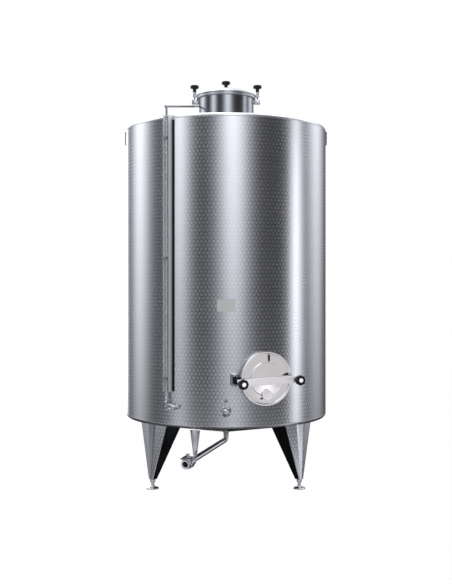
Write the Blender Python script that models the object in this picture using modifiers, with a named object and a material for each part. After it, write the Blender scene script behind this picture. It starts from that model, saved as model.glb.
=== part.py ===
"""Upright stainless steel storage tank on four legs.

The tank stands on the XY plane, +Z up, and faces -Y.  All lengths are in metres.  The tank's own axis
stands a little behind the origin, because the manway's knobs reach further forward than anything
reaches back, and the origin is the middle of the footprint.  Pieces round the tank are modelled as if
they sat at the very front, then turned about the axis by their azimuth: 0 is the front, + is to the
right.  In such a local frame +X runs to the right, -Y outwards and +Z up.
"""
import math

import bmesh
import bpy
from mathutils import Matrix, Vector

# Fits
GAP = 0.0003
RUNNING = 0.0005
HOLE_GAP = 0.001

# Points closer than this are one point
MERGE = 0.00003

# How far a joined piece overlaps its neighbour, and how far a cutter runs past what it cuts
OVERLAP = 0.001
CUT_PAST = 0.010
CUTTER_NEAR = 0.50
CUTTER_FAR = 0.90
WALL_CUTTER_REACH = 0.30
WALL_CUTTER_FACETS = 160
CONE_CUTTER_TOP_Z = 0.70

# Where the tank's axis stands behind the origin
AXIS_Y = 0.0844

# Shell: a rolled wall with a coned roof and a coned bottom, each joined by a knuckle
TANK_RADIUS = 0.700
SHEET = 0.0025
KNUCKLE_RADIUS = 0.022
KNUCKLE_FLANGE = 0.020
ROOF_KNUCKLE_Z = 2.412
BOTTOM_KNUCKLE_Z = 0.440
ROOF_PITCH = math.radians(11.2)
BOTTOM_PITCH = math.radians(10.6)
SEGMENTS = 8
FACETS_PER_SEGMENT = 8
KNUCKLE_STEPS = 3
FACETS_ROUND = SEGMENTS * FACETS_PER_SEGMENT

# Neck, flange and lid
NECK_RADIUS = 0.1945
NECK_SHEET = 0.003
NECK_DIP = 0.010
FLANGE_Z = 2.640
FLANGE_THICK = 0.016
FLANGE_RADIUS = 0.208
LID_RADIUS = 0.210
LID_RIM_Z = 2.6575
LID_RIM_THICK = 0.010
LID_RISE = 0.046
LID_SHEET = 0.003
LID_RIM_WIDTH = 0.014
DOME_STEPS = 5
NECK_FACETS = 48

# Knobs
KNOB_RADIUS = 0.030
KNOB_THICK = 0.022
KNOB_HUB_RADIUS = 0.012
KNOB_FACETS = 16
KNOB_EDGE = 0.006
KNOB_NECK_DROP = 0.004
LID_KNOB_Z = 2.746

# Swing bolts: ears on the neck, forked lugs on the lid, and the clearance that lets a bolt swing out
SWING_BOLT_RADIUS = 0.222
SWING_PIVOT_Z = 2.620
SWING_BOLT_THICK = 0.010
SWING_EYE_RADIUS = 0.0095
SWING_KNOB_Z = 2.718
SWING_CLEARANCE = 0.0022
EAR_GAP = 0.014
EAR_THICK = 0.005
EAR_DROP = 0.014
EAR_TOP_Z = 2.6375
EAR_REACH = 0.240
SLOT_WIDTH = 0.014
LUG_WIDTH = 0.034
LUG_THICK = 0.007
LUG_REACH = 0.2335
LUG_OVERLAP = 0.006

# Lifting lugs
LIFT_BOTTOM_Z = 2.313
LIFT_TOP_Z = 2.408
LIFT_WIDTH = 0.060
LIFT_REACH = 0.0155
LIFT_STRAP = 0.005
LIFT_BEND = 0.006
WALL_SEAT = 0.0005

# Level gauge
GAUGE_AZIMUTH = math.radians(-31.3)
CHANNEL_WIDTH = 0.045
CHANNEL_SHEET = 0.002
CHANNEL_BACK = 0.7010
CHANNEL_FRONT = 0.7400
CHANNEL_BOTTOM_Z = 0.651
CHANNEL_TOP_Z = 2.416
CHANNEL_FOOT_WIDTH = 0.040
CHANNEL_FOOT_Z = 0.592
SIGHT_RADIUS = 0.008
SIGHT_OUT = 0.726
SIGHT_SIDE = -0.0035
SIGHT_BOTTOM_Z = 0.590
SIGHT_TOP_Z = 2.395
CLIP_HEIGHTS = (0.736, 1.505, 2.275)
CLIP_HEIGHT = 0.020
CLIP_COVER = 0.003
SCALE_LEFT = 0.0235
SCALE_RIGHT = 0.0390
SCALE_THICK = 0.003
SCALE_BOTTOM_Z = 0.651
SCALE_TOP_Z = 2.389
COCK_SIDE = 0.058
COCK_Z = 0.555
COCK_RADIUS = 0.015
COCK_BACK = 0.690
COCK_FRONT = 0.740
COCK_LINK_Z = 0.566
COCK_RISER_RADIUS = 0.0105
COCK_DROOP = math.radians(14.0)
COCK_HUB_RADIUS = 0.012
COCK_HUB_HEIGHT = 0.016
COCK_LEVER_LENGTH = 0.060
COCK_LEVER_WIDTH = 0.012
COCK_LEVER_LOW = 0.006
COCK_LEVER_TOP = 0.012
HUB_EDGE = 0.003
VENT_RADIUS = 0.0072
VENT_CORNER_Z = 2.473
VENT_NECK_Z = 2.592
VENT_STUB = 0.040
VENT_BEND = 0.015

# Manway
MANWAY_AZIMUTH = math.radians(20.2)
MANWAY_Z = 0.7405
COLLAR_RADIUS = 0.1660
COLLAR_SHEET = 0.004
COLLAR_INNER_OUT = 0.655
COLLAR_FRONT_OUT = 0.7220
GASKET_THICK = 0.005
GASKET_INNER = 0.1600
GASKET_OUTER = 0.1680
DOOR_RADIUS = 0.1725
DOOR_FRONT_OUT = 0.7420
DOOR_SHEET = 0.003
DOOR_DISH_RADIUS = 0.1075
DOOR_BOSS_RADIUS = 0.005
DOOR_RIM_WIDTH = 0.013
DOOR_FACE_DROP = 0.0055
DOOR_CROWN = 0.0035
DOOR_DISH_DROP = 0.0015
DOOR_BACK_CROWN = 0.008
DOOR_EDGE = 0.002
DOOR_FACETS = 48
HINGE_SIDE = -0.208
HINGE_OUT = 0.738
HINGE_LOW_Z = 0.700
HINGE_HIGH_Z = 0.772
HINGE_EAR_HEIGHT = 0.012
HINGE_EAR_HALF = 0.009
HINGE_EAR_BACK = 0.690
HINGE_WEB_FRONT = 0.706
HINGE_WEB_BACK = 0.660
HINGE_WEB_REACH = 0.030
HINGE_ARM_REACH = 0.050
HINGE_ARM_THICK = 0.006
HINGE_ARM_INSET = 0.004
HINGE_BARREL_RADIUS = 0.0095
HINGE_PIN_RADIUS = 0.0045
BAR_HEIGHT = 0.046
BAR_FRONT_OUT = 0.7645
BAR_DEPTH = 0.014
BAR_SHEET = 0.003
BAR_HALF_LENGTH = 0.205
BAR_MIDDLE_Z = 0.7265
BAR_TILT = math.radians(1.94)
CLAMP_SIDE = 0.192
CLAMP_KNOB_RADIUS = 0.0325
CLAMP_KNOB_THICK = 0.026
CLAMP_HUB_RADIUS = 0.016
CLAMP_KNOB_OUT = 0.845
CLAMP_BOLT_RADIUS = 0.005
CLAMP_KNOB_EDGE = 0.005
CATCH_OUT = 0.7000
CATCH_FRONT = 0.7190
CATCH_BACK = 0.660
CATCH_HALF_HEIGHT = 0.017
CATCH_SLOT_HALF = 0.0075
CATCH_SLOT_FLOOR = 0.0025
CATCH_INNER_REACH = 0.030
CATCH_OUTER_REACH = 0.011
PORT_Z = 0.6395
PORT_RADIUS = 0.032
PORT_OUT = 0.757
PORT_EDGE = 0.004

# Sample valve and name plate
SAMPLE_Z = 0.535
SAMPLE_FLANGE_RADIUS = 0.0345
SAMPLE_BODY_RADIUS = 0.020
SAMPLE_FLANGE_THICK = 0.011
SAMPLE_FRONT_OUT = 0.748
SAMPLE_STEM_OUT = 0.024
SAMPLE_STEM_HEIGHT = 0.027
SAMPLE_STEM_RADIUS = 0.009
SAMPLE_HANDLE_TOP = 0.069
SAMPLE_HANDLE_HUB_RADIUS = 0.010
SAMPLE_HANDLE_HUB_HEIGHT = 0.012
SAMPLE_GRIP_RADIUS = 0.0045
SAMPLE_PADDLE_LOW = 0.046
SAMPLE_PADDLE_HALF_WIDTH = 0.008
SAMPLE_PADDLE_THICK = 0.007
SAMPLE_NOSE = 0.007
SPOUT_START = (0.0, 0.008)
SPOUT_START_OUT = 0.026
SPOUT_END = (0.010, -0.030)
SPOUT_END_OUT = 0.034
SPOUT_RADIUS = 0.008
PLATE_Z = 1.204
PLATE_WIDTH = 0.118
PLATE_HEIGHT = 0.082
PLATE_THICK = 0.0015

# Outlet
OUTLET_AZIMUTH = math.radians(-23.4)
OUTLET_PITCH = math.radians(5.3)
PIPE_RADIUS = 0.019
PIPE_WALL = 0.002
PIPE_START_Z = 0.2405
PIPE_BEND = 0.030
PIPE_STUB = 0.004
PIPE_END = 0.556
VALVE_START = PIPE_END + GAP
VALVE_BALL = 0.617
VALVE_END = 0.662
VALVE_RADIUS = 0.036
VALVE_MOUTH_RADIUS = 0.030
VALVE_WAIST_RADIUS = 0.023
VALVE_MOUTH_LENGTH = 0.016
VALVE_WAIST_END = 0.020
VALVE_SHOULDER = 0.026
VALVE_BODY_START = 0.034
VALVE_EDGE = 0.005
VALVE_STEM_RADIUS = 0.010
LEVER_RISE = 0.046
LEVER_LENGTH = 0.092
LEVER_HALF_WIDTH = 0.009
LEVER_LOW = 0.004
LEVER_TOP = 0.008
LEVER_HUB_RADIUS = 0.012
LEVER_HUB_HEIGHT = 0.014
HANGER_DISTANCE = 0.512
HANGER_TOP_WIDTH = 0.072
HANGER_LOW_WIDTH = 0.026
HANGER_THICK = 0.003
HANGER_EAR_DROP = 0.006

# Legs and feet
LEG_AZIMUTHS = {"front_left": -45.0, "front_right": 45.0, "back_left": -133.0, "back_right": 133.0}
LEG_SHEET = 0.002
LEG_FOLD = math.radians(14.0)
LEG_TOP_Z = 0.450
LEG_LOW_Z = 0.063
LEG_TOP_OUT = 0.6900
LEG_LOW_OUT = 0.6970
LEG_TOP_MIDDLE = 0.0425
LEG_TOP_SIDE = 0.095
LEG_TOP_FLANK = 0.153
LEG_LOW_MIDDLE = 0.0066
LEG_LOW_SIDE = 0.0147
LEG_LOW_FLANK = 0.036
LEG_FLANK_LEAN = 0.06
LEG_SOLE_INSET = 0.003
LEG_SOLE_THICK = 0.004
LEG_SOLE_BACK = 0.0055
FOOT_OUT = 0.6775
FOOT_PAD_RADIUS = 0.040
FOOT_PAD_THICK = 0.009
FOOT_STEM_RADIUS = 0.010
FOOT_NUT_RADIUS = 0.018
FOOT_NUT_LOW_Z = 0.040
FOOT_NUT_LOW_RADIUS = 0.012
FOOT_CUP_RADIUS = 0.016
FOOT_PAD_EDGE = 0.004
FOOT_BALL_Z = 0.020
FOOT_CUP_Z = 0.016

tank_parts = bpy.data.collections.new("stainless_steel_tank")
cutters = bpy.data.collections.new("cutters")


def start_scene():
    """Empty the scene and add the collection of parts and the one of cutters."""
    for old in list(bpy.data.objects):
        bpy.data.objects.remove(old, do_unlink=True)
    bpy.context.scene.collection.children.link(tank_parts)
    bpy.context.scene.collection.children.link(cutters)


def finish_material(name, colour, roughness, metallic):
    """A Principled material from the piece's colour in the photograph."""
    material = bpy.data.materials.new(name)
    material.use_nodes = True
    shader = material.node_tree.nodes["Principled BSDF"]
    shader.inputs["Base Color"].default_value = (*colour, 1.0)
    shader.inputs["Roughness"].default_value = roughness
    shader.inputs["Metallic"].default_value = metallic
    material.diffuse_color = (*colour, 1.0)
    return material


MARBLED = finish_material("marbled_stainless", (0.56, 0.57, 0.59), 0.35, 1.0)
BRUSHED = finish_material("brushed_stainless", (0.60, 0.61, 0.62), 0.32, 1.0)
POLISHED = finish_material("polished_stainless", (0.78, 0.78, 0.79), 0.12, 1.0)
BLACK_PLASTIC = finish_material("black_plastic", (0.015, 0.016, 0.018), 0.35, 0.0)
CLEAR_TUBE = finish_material("clear_tube", (0.55, 0.60, 0.62), 0.08, 0.0)
DARK_STRIP = finish_material("dark_scale_strip", (0.02, 0.022, 0.028), 0.40, 0.0)
GASKET_RUBBER = finish_material("gasket_rubber", (0.05, 0.05, 0.05), 0.70, 0.0)
PLATE_GREY = finish_material("plate_grey", (0.33, 0.34, 0.34), 0.45, 0.6)


def azimuth_frame(name, azimuth):
    """An empty on the tank's axis, turned so that its -Y points outwards at the azimuth."""
    frame = bpy.data.objects.new(name, None)
    frame.location = (0.0, AXIS_Y, 0.0)
    frame.rotation_euler = (0.0, 0.0, azimuth)
    tank_parts.objects.link(frame)
    return frame


def keep(obj, material, parent, location=(0, 0, 0), rotation=(0, 0, 0)):
    """Make an object one of the tank's named pieces."""
    for holder in list(obj.users_collection):
        holder.objects.unlink(obj)
    tank_parts.objects.link(obj)
    obj.data.materials.clear()
    obj.data.materials.append(material)
    obj.parent = parent
    obj.location = location
    obj.rotation_euler = rotation
    return obj


def as_cutter(obj, parent, location=(0, 0, 0), rotation=(0, 0, 0)):
    """Make an object a hidden tool for a Boolean."""
    for holder in list(obj.users_collection):
        holder.objects.unlink(obj)
    cutters.objects.link(obj)
    obj.parent = parent
    obj.location = location
    obj.rotation_euler = rotation
    obj.display_type = "WIRE"
    obj.hide_render = True
    return obj


def boolean(obj, tool, operation):
    """Cut a tool away from an object, join it on, or keep what they share."""
    modifier = obj.modifiers.new(operation.lower(), "BOOLEAN")
    modifier.operation = operation
    modifier.solver = "EXACT"
    modifier.object = tool
    return obj


def smooth(mesh, angle=35.0):
    """Shade round surfaces smooth and keep the edges sharper than the angle."""
    mesh.shade_smooth()
    mesh.set_sharp_from_angle(angle=math.radians(angle))


def bmesh_object(name, shape, round_shape=False):
    """Put a bmesh into a new object."""
    mesh = bpy.data.meshes.new(name)
    shape.to_mesh(mesh)
    shape.free()
    if round_shape:
        smooth(mesh)
    obj = bpy.data.objects.new(name, mesh)
    tank_parts.objects.link(obj)
    return obj


def box(name, low, high):
    """A box between two corners."""
    shape = bmesh.new()
    bmesh.ops.create_cube(shape, size=1.0)
    size = [b - a for a, b in zip(low, high)]
    middle = [(a + b) / 2 for a, b in zip(low, high)]
    bmesh.ops.scale(shape, vec=size, verts=shape.verts)
    bmesh.ops.translate(shape, vec=middle, verts=shape.verts)
    return bmesh_object(name, shape)


def rod(name, start, end, radius, facets=20):
    """A round bar between two points."""
    start, end = Vector(start), Vector(end)
    along = end - start
    shape = bmesh.new()
    bmesh.ops.create_cone(shape, cap_ends=True, segments=facets, radius1=radius, radius2=radius,
                          depth=along.length)
    turn = along.to_track_quat("Z", "Y").to_matrix().to_4x4()
    place = Matrix.Translation((start + end) / 2) @ turn
    bmesh.ops.transform(shape, matrix=place, verts=shape.verts)
    return bmesh_object(name, shape, round_shape=True)


def turned(name, profile, facets=32, closed=False, angle=math.tau, start=0.0):
    """Turn a profile of (radius, height) points about Z; it runs down its outer side."""
    shape = bmesh.new()
    corners = [shape.verts.new((r * math.cos(start), r * math.sin(start), z)) for r, z in profile]
    for first, second in zip(corners, corners[1:]):
        shape.edges.new((first, second))
    if closed:
        shape.edges.new((corners[-1], corners[0]))
    obj = bmesh_object(name, shape)
    screw = obj.modifiers.new("turn", "SCREW")
    screw.axis = "Z"
    screw.angle = angle
    screw.steps = facets
    screw.render_steps = facets
    screw.use_smooth_shade = True
    screw.use_merge_vertices = True
    screw.merge_threshold = MERGE
    return obj


def outline(name, points, thickness):
    """A flat outline in XY with a thickness about Z, made a mesh so that it can be cut."""
    curve = bpy.data.curves.new(name, "CURVE")
    curve.dimensions = "2D"
    curve.fill_mode = "BOTH"
    curve.extrude = thickness / 2
    spline = curve.splines.new("POLY")
    spline.points.add(len(points) - 1)
    for point, (x, y) in zip(spline.points, points):
        point.co = (x, y, 0.0, 1.0)
    spline.use_cyclic_u = True
    source = bpy.data.objects.new(name + "_outline", curve)
    tank_parts.objects.link(source)
    bpy.context.view_layer.update()
    graph = bpy.context.evaluated_depsgraph_get()
    mesh = bpy.data.meshes.new_from_object(source.evaluated_get(graph))
    bpy.data.objects.remove(source, do_unlink=True)
    shape = bmesh.new()
    shape.from_mesh(mesh)
    bmesh.ops.remove_doubles(shape, verts=shape.verts, dist=MERGE)
    bpy.data.meshes.remove(mesh)
    return bmesh_object(name, shape)


def arc(centre, radius, first, last, steps):
    """Points on an arc, its angles in radians."""
    angles = [first + (last - first) * i / steps for i in range(steps + 1)]
    return [(centre[0] + radius * math.cos(a), centre[1] + radius * math.sin(a)) for a in angles]


def roof_height(radius):
    """Height of the roof's outer face at a radius on its cone."""
    edge = TANK_RADIUS - KNUCKLE_RADIUS * (1 - math.sin(ROOF_PITCH))
    top = ROOF_KNUCKLE_Z + KNUCKLE_RADIUS * math.cos(ROOF_PITCH)
    return top + (edge - radius) * math.tan(ROOF_PITCH)


def bottom_height(radius):
    """Height of the bottom's outer face at a radius on its cone."""
    edge = TANK_RADIUS - KNUCKLE_RADIUS * (1 - math.sin(BOTTOM_PITCH))
    low = BOTTOM_KNUCKLE_Z - KNUCKLE_RADIUS * math.cos(BOTTOM_PITCH)
    return low - (edge - radius) * math.tan(BOTTOM_PITCH)


# The rotation that stands a turned shape's axis outwards, along -Y
OUTWARDS = (math.radians(90.0), 0.0, 0.0)

# Lays a section drawn as (minus its distance outwards, height) along X
SECTION_ALONG_X = Matrix(((0, 0, 1, 0), (1, 0, 0, 0), (0, 1, 0, 0), (0, 0, 0, 1)))


def build_wall(manway):
    """Eight rolled segments; the one that carries the manway is cut for its collar."""
    segment_angle = math.tau / SEGMENTS
    half_gap = GAP / 2 / TANK_RADIUS
    top = ROOF_KNUCKLE_Z - KNUCKLE_FLANGE - GAP
    low = BOTTOM_KNUCKLE_Z + KNUCKLE_FLANGE + GAP
    hole = rod("manway_hole", (0, -CUTTER_FAR, MANWAY_Z), (0, -CUTTER_NEAR, MANWAY_Z),
               COLLAR_RADIUS + GAP, 64)
    as_cutter(hole, manway)
    for index in range(SEGMENTS):
        name = f"wall_segment_{index + 1}"
        start = -math.pi / 2 - segment_angle / 2 + half_gap
        wall = turned(name, [(TANK_RADIUS, top), (TANK_RADIUS, low)], FACETS_PER_SEGMENT,
                      angle=segment_angle - 2 * half_gap, start=start)
        solid = wall.modifiers.new("sheet", "SOLIDIFY")
        solid.thickness = SHEET
        solid.offset = -1.0
        frame = azimuth_frame(name + "_frame", MANWAY_AZIMUTH + index * segment_angle)
        keep(wall, MARBLED, frame)
        if index == 0:
            boolean(wall, hole, "DIFFERENCE")


def coned_end(name, knuckle_z, pitch, inner_radius, up):
    """A coned end: its knuckle and short flange outside, and a hole at its middle."""
    centre = (TANK_RADIUS - KNUCKLE_RADIUS, knuckle_z)
    if up:
        knuckle = arc(centre, KNUCKLE_RADIUS, math.pi / 2 - pitch, 0.0, KNUCKLE_STEPS)
        inner = [(inner_radius, roof_height(inner_radius))]
        profile = inner + knuckle + [(TANK_RADIUS, knuckle_z - KNUCKLE_FLANGE)]
    else:
        knuckle = arc(centre, KNUCKLE_RADIUS, 0.0, pitch - math.pi / 2, KNUCKLE_STEPS)
        inner = [(inner_radius, bottom_height(inner_radius))]
        profile = [(TANK_RADIUS, knuckle_z + KNUCKLE_FLANGE)] + knuckle + inner
    end = turned(name, profile, FACETS_ROUND)
    solid = end.modifiers.new("sheet", "SOLIDIFY")
    solid.thickness = SHEET
    solid.offset = -1.0
    return end


def build_ends(axis):
    """The roof, with the neck's hole, and the bottom, with the outlet's hole."""
    roof = coned_end("roof", ROOF_KNUCKLE_Z, ROOF_PITCH, NECK_RADIUS + HOLE_GAP, True)
    keep(roof, BRUSHED, axis)
    bottom = coned_end("bottom_cone", BOTTOM_KNUCKLE_Z, BOTTOM_PITCH, PIPE_RADIUS + HOLE_GAP, False)
    keep(bottom, BRUSHED, axis)


def build_neck(axis, left, right):
    """The neck with four ears, its flange, the domed lid with forked lugs, and the lid's knob."""
    low = roof_height(NECK_RADIUS) - NECK_DIP
    top = FLANGE_Z - GAP
    inner = NECK_RADIUS - NECK_SHEET
    neck = turned("neck", [(inner, top), (NECK_RADIUS, top), (NECK_RADIUS, low), (inner, low)],
                  NECK_FACETS, closed=True)
    for side_name, side in (("left", left), ("right", right)):
        for row, offset in enumerate((-1, 1)):
            first = offset * EAR_GAP / 2
            second = offset * (EAR_GAP / 2 + EAR_THICK)
            ear = box(f"ear_{side_name}_{row}", (min(first, second), -EAR_REACH, SWING_PIVOT_Z - EAR_DROP),
                      (max(first, second), -inner - OVERLAP, EAR_TOP_Z))
            as_cutter(ear, side)
            boolean(neck, ear, "UNION")
    keep(neck, POLISHED, axis)

    flange_low = FLANGE_Z
    flange_top = FLANGE_Z + FLANGE_THICK
    flange = turned("neck_flange", [(inner, flange_top), (FLANGE_RADIUS, flange_top),
                                    (FLANGE_RADIUS, flange_low), (inner, flange_low)],
                    NECK_FACETS, closed=True)
    keep(flange, BRUSHED, axis)

    rim_top = LID_RIM_Z + LID_RIM_THICK
    dome_edge = LID_RADIUS - LID_RIM_WIDTH
    sphere = (dome_edge ** 2 + LID_RISE ** 2) / (2 * LID_RISE)
    spread = math.asin(dome_edge / sphere)
    centre_z = rim_top + LID_RISE - sphere
    angles = [spread * i / DOME_STEPS for i in range(DOME_STEPS + 1)]
    outer = [(sphere * math.sin(angle), centre_z + sphere * math.cos(angle)) for angle in angles]
    lower = [(r * (sphere - LID_SHEET) / sphere, z - LID_SHEET) for r, z in reversed(outer)]
    profile = outer + [(LID_RADIUS, rim_top), (LID_RADIUS, LID_RIM_Z), (dome_edge, LID_RIM_Z)] + lower
    lid = turned("lid", profile, NECK_FACETS)
    for side_name, side in (("left", left), ("right", right)):
        lug = box(f"lid_lug_{side_name}", (-LUG_WIDTH / 2, -LUG_REACH, LID_RIM_Z),
                  (LUG_WIDTH / 2, -LID_RADIUS + LUG_OVERLAP, LID_RIM_Z + LUG_THICK))
        as_cutter(lug, side)
        boolean(lid, lug, "UNION")
        slot = box(f"lid_slot_{side_name}", (-SLOT_WIDTH / 2, -LUG_REACH - CUT_PAST, LID_RIM_Z - CUT_PAST),
                   (SLOT_WIDTH / 2, -SWING_BOLT_RADIUS + SLOT_WIDTH / 2, rim_top + CUT_PAST))
        as_cutter(slot, side)
        boolean(lid, slot, "DIFFERENCE")
    keep(lid, POLISHED, axis)

    boss_top = rim_top + LID_RISE + GAP
    knob_top = LID_KNOB_Z + KNOB_THICK
    knob = turned("lid_knob", knob_profile(knob_top, boss_top, KNOB_RADIUS, KNOB_THICK,
                                           KNOB_HUB_RADIUS, KNOB_EDGE), KNOB_FACETS)
    keep(knob, BLACK_PLASTIC, axis)


def knob_profile(top, low, radius, thick, hub_radius, bevel):
    """A round handwheel knob's outer side, from its top down its hub to its underside."""
    return [(0, top), (radius - bevel, top), (radius, top - bevel), (radius, top - thick + bevel),
            (radius - bevel, top - thick), (hub_radius + KNOB_NECK_DROP, top - thick),
            (hub_radius, top - thick - KNOB_NECK_DROP), (hub_radius, low), (0, low)]


def build_swing_bolt(name, side):
    """A swing bolt with its knob on one body: it turns about a pin between the neck's ears."""
    pivot = bpy.data.objects.new(name + "_pivot", None)
    tank_parts.objects.link(pivot)
    pivot.parent = side
    pivot.location = (0.0, -SWING_BOLT_RADIUS, SWING_PIVOT_Z)
    knob_low = SWING_KNOB_Z - SWING_PIVOT_Z
    knob_top = knob_low + KNOB_THICK
    hub_low = LID_RIM_Z + LUG_THICK + SWING_CLEARANCE - SWING_PIVOT_Z
    knob = turned(name, knob_profile(knob_top, hub_low, KNOB_RADIUS, KNOB_THICK, KNOB_HUB_RADIUS,
                                     KNOB_EDGE), KNOB_FACETS)
    shank = rod(name + "_shank", (0, 0, 0), (0, 0, hub_low + CUT_PAST), SWING_BOLT_THICK / 2, 16)
    eye = rod(name + "_eye", (-EAR_GAP / 2 + RUNNING, 0, 0), (EAR_GAP / 2 - RUNNING, 0, 0),
              SWING_EYE_RADIUS)
    as_cutter(shank, pivot)
    as_cutter(eye, pivot)
    boolean(knob, shank, "UNION")
    boolean(knob, eye, "UNION")
    keep(knob, BLACK_PLASTIC, pivot)


def build_lifting_lug(name, side):
    """A strap welded to the wall at both its ends, so that a hook can go behind it."""
    out = TANK_RADIUS + LIFT_REACH
    root = TANK_RADIUS - LIFT_STRAP
    low, high = LIFT_BOTTOM_Z, LIFT_TOP_Z
    lug = outline(name, [(-root, low), (-root, low + LIFT_STRAP), (-out + LIFT_STRAP, low + LIFT_STRAP),
                         (-out + LIFT_STRAP, high - LIFT_STRAP), (-root, high - LIFT_STRAP),
                         (-root, high), (-out + LIFT_BEND, high), (-out, high - LIFT_BEND),
                         (-out, low + LIFT_BEND), (-out + LIFT_BEND, low)], LIFT_WIDTH)
    lug.data.transform(SECTION_ALONG_X)
    boolean(lug, wall_clear(name + "_wall_face", side, (low + high) / 2), "DIFFERENCE")
    keep(lug, BRUSHED, side)


def build_gauge(gauge, axis):
    """The level gauge: channel, sight tube, scale strip, bottom cock with a lever, and vent pipe."""
    half = CHANNEL_WIDTH / 2
    inside = half - CHANNEL_SHEET
    floor = -CHANNEL_BACK - CHANNEL_SHEET
    height = CHANNEL_TOP_Z - CHANNEL_BOTTOM_Z
    channel = outline("gauge_channel", [(-half, -CHANNEL_BACK), (-half, -CHANNEL_FRONT),
                                        (-inside, -CHANNEL_FRONT), (-inside, floor), (inside, floor),
                                        (inside, -CHANNEL_FRONT), (half, -CHANNEL_FRONT),
                                        (half, -CHANNEL_BACK)], height)
    foot_half = CHANNEL_FOOT_WIDTH / 2
    foot = box("gauge_channel_foot", (-foot_half, floor, CHANNEL_FOOT_Z),
               (foot_half, -CHANNEL_BACK, CHANNEL_BOTTOM_Z + OVERLAP))
    as_cutter(foot, gauge)
    boolean(channel, foot, "UNION")
    for row, z in enumerate(CLIP_HEIGHTS):
        clip = box(f"gauge_clip_{row}", (-inside - OVERLAP, -SIGHT_OUT - SIGHT_RADIUS - CLIP_COVER,
                                         z - CLIP_HEIGHT / 2),
                   (inside + OVERLAP, floor + OVERLAP, z + CLIP_HEIGHT / 2))
        as_cutter(clip, gauge)
        boolean(channel, clip, "UNION")
        bore = rod(f"gauge_clip_bore_{row}", (SIGHT_SIDE, -SIGHT_OUT, z - CLIP_HEIGHT),
                   (SIGHT_SIDE, -SIGHT_OUT, z + CLIP_HEIGHT), SIGHT_RADIUS + GAP)
        as_cutter(bore, gauge)
        boolean(channel, bore, "DIFFERENCE")
    keep(channel, BRUSHED, gauge, (0, 0, (CHANNEL_TOP_Z + CHANNEL_BOTTOM_Z) / 2))

    sight = rod("sight_tube", (0, 0, SIGHT_BOTTOM_Z), (0, 0, SIGHT_TOP_Z), SIGHT_RADIUS)
    keep(sight, CLEAR_TUBE, gauge, (SIGHT_SIDE, -SIGHT_OUT, 0))
    radius = TANK_RADIUS + GAP
    strip = turned("scale_strip", [(radius, SCALE_TOP_Z), (radius, SCALE_BOTTOM_Z)], 1,
                   angle=(SCALE_RIGHT - SCALE_LEFT) / radius, start=-math.pi / 2 + SCALE_LEFT / radius)
    solid = strip.modifiers.new("sheet", "SOLIDIFY")
    solid.thickness = SCALE_THICK
    solid.offset = 1.0
    keep(strip, DARK_STRIP, gauge)

    cock = rod("gauge_cock", (COCK_SIDE, -COCK_BACK, COCK_Z), (COCK_SIDE, -COCK_FRONT, COCK_Z),
               COCK_RADIUS, 24)
    link = rod("gauge_cock_link", (SIGHT_SIDE, -SIGHT_OUT, COCK_LINK_Z),
               (COCK_SIDE, -SIGHT_OUT, COCK_LINK_Z), COCK_RISER_RADIUS)
    riser = rod("gauge_cock_riser", (SIGHT_SIDE, -SIGHT_OUT, COCK_LINK_Z - COCK_RISER_RADIUS),
                (SIGHT_SIDE, -SIGHT_OUT, SIGHT_BOTTOM_Z - GAP), COCK_RISER_RADIUS + OVERLAP)
    for tool in (link, riser):
        as_cutter(tool, gauge)
        boolean(cock, tool, "UNION")
    boolean(cock, wall_clear("gauge_cock_wall_face", gauge, COCK_Z), "DIFFERENCE")
    keep(cock, BRUSHED, gauge)

    lever_at = (COCK_SIDE, -COCK_FRONT - RUNNING, COCK_Z)
    lever_turn = (OUTWARDS[0], -COCK_DROOP, 0.0)
    lever = turned("gauge_lever", hub_profile(COCK_HUB_RADIUS, 0.0, COCK_HUB_HEIGHT), 24)
    grip = box("gauge_lever_grip", (-COCK_LEVER_LENGTH, -COCK_LEVER_WIDTH / 2, COCK_LEVER_LOW),
               (0.0, COCK_LEVER_WIDTH / 2, COCK_LEVER_TOP))
    as_cutter(grip, gauge, lever_at, lever_turn)
    boolean(lever, grip, "UNION")
    keep(lever, BRUSHED, gauge, lever_at, lever_turn)

    start = gauge_point(SIGHT_OUT, SIGHT_TOP_Z + GAP)
    corner = gauge_point(SIGHT_OUT, VENT_CORNER_Z)
    turn_in = Vector((-NECK_RADIUS - VENT_STUB, 0.0, VENT_NECK_Z))
    end = Vector((-NECK_RADIUS - 2 * GAP, 0.0, VENT_NECK_Z))
    vent = tube("vent_pipe", bend_path([start, corner, turn_in, end], VENT_BEND, 4), VENT_RADIUS)
    keep(vent, BRUSHED, axis)


def hub_profile(radius, low, height):
    """A lever's hub: a short round bar with its upper edge broken."""
    top = low + height
    return [(0, top), (radius - HUB_EDGE, top), (radius, top - HUB_EDGE), (radius, low), (0, low)]


def gauge_point(out, z):
    """A point on the sight tube's line, in the frame of the tank's axis."""
    across = Vector((math.cos(GAUGE_AZIMUTH), math.sin(GAUGE_AZIMUTH), 0.0)) * SIGHT_SIDE
    return across + Vector((out * math.sin(GAUGE_AZIMUTH), -out * math.cos(GAUGE_AZIMUTH), z))


def bend_path(points, radius, steps):
    """A path with its inner corners rounded by quadratic bends."""
    path = [points[0]]
    for before, corner, after in zip(points, points[1:], points[2:]):
        first = corner + (before - corner).normalized() * radius
        last = corner + (after - corner).normalized() * radius
        for i in range(steps + 1):
            t = i / steps
            path.append((1 - t) ** 2 * first + 2 * t * (1 - t) * corner + t ** 2 * last)
    path.append(points[-1])
    return path


def tube(name, points, radius):
    """A round bar along a path of points."""
    curve = bpy.data.curves.new(name, "CURVE")
    curve.dimensions = "3D"
    curve.bevel_depth = radius
    curve.bevel_resolution = 3
    curve.use_fill_caps = True
    spline = curve.splines.new("POLY")
    spline.points.add(len(points) - 1)
    for point, position in zip(spline.points, points):
        point.co = (*position, 1.0)
    obj = bpy.data.objects.new(name, curve)
    tank_parts.objects.link(obj)
    return obj


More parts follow.
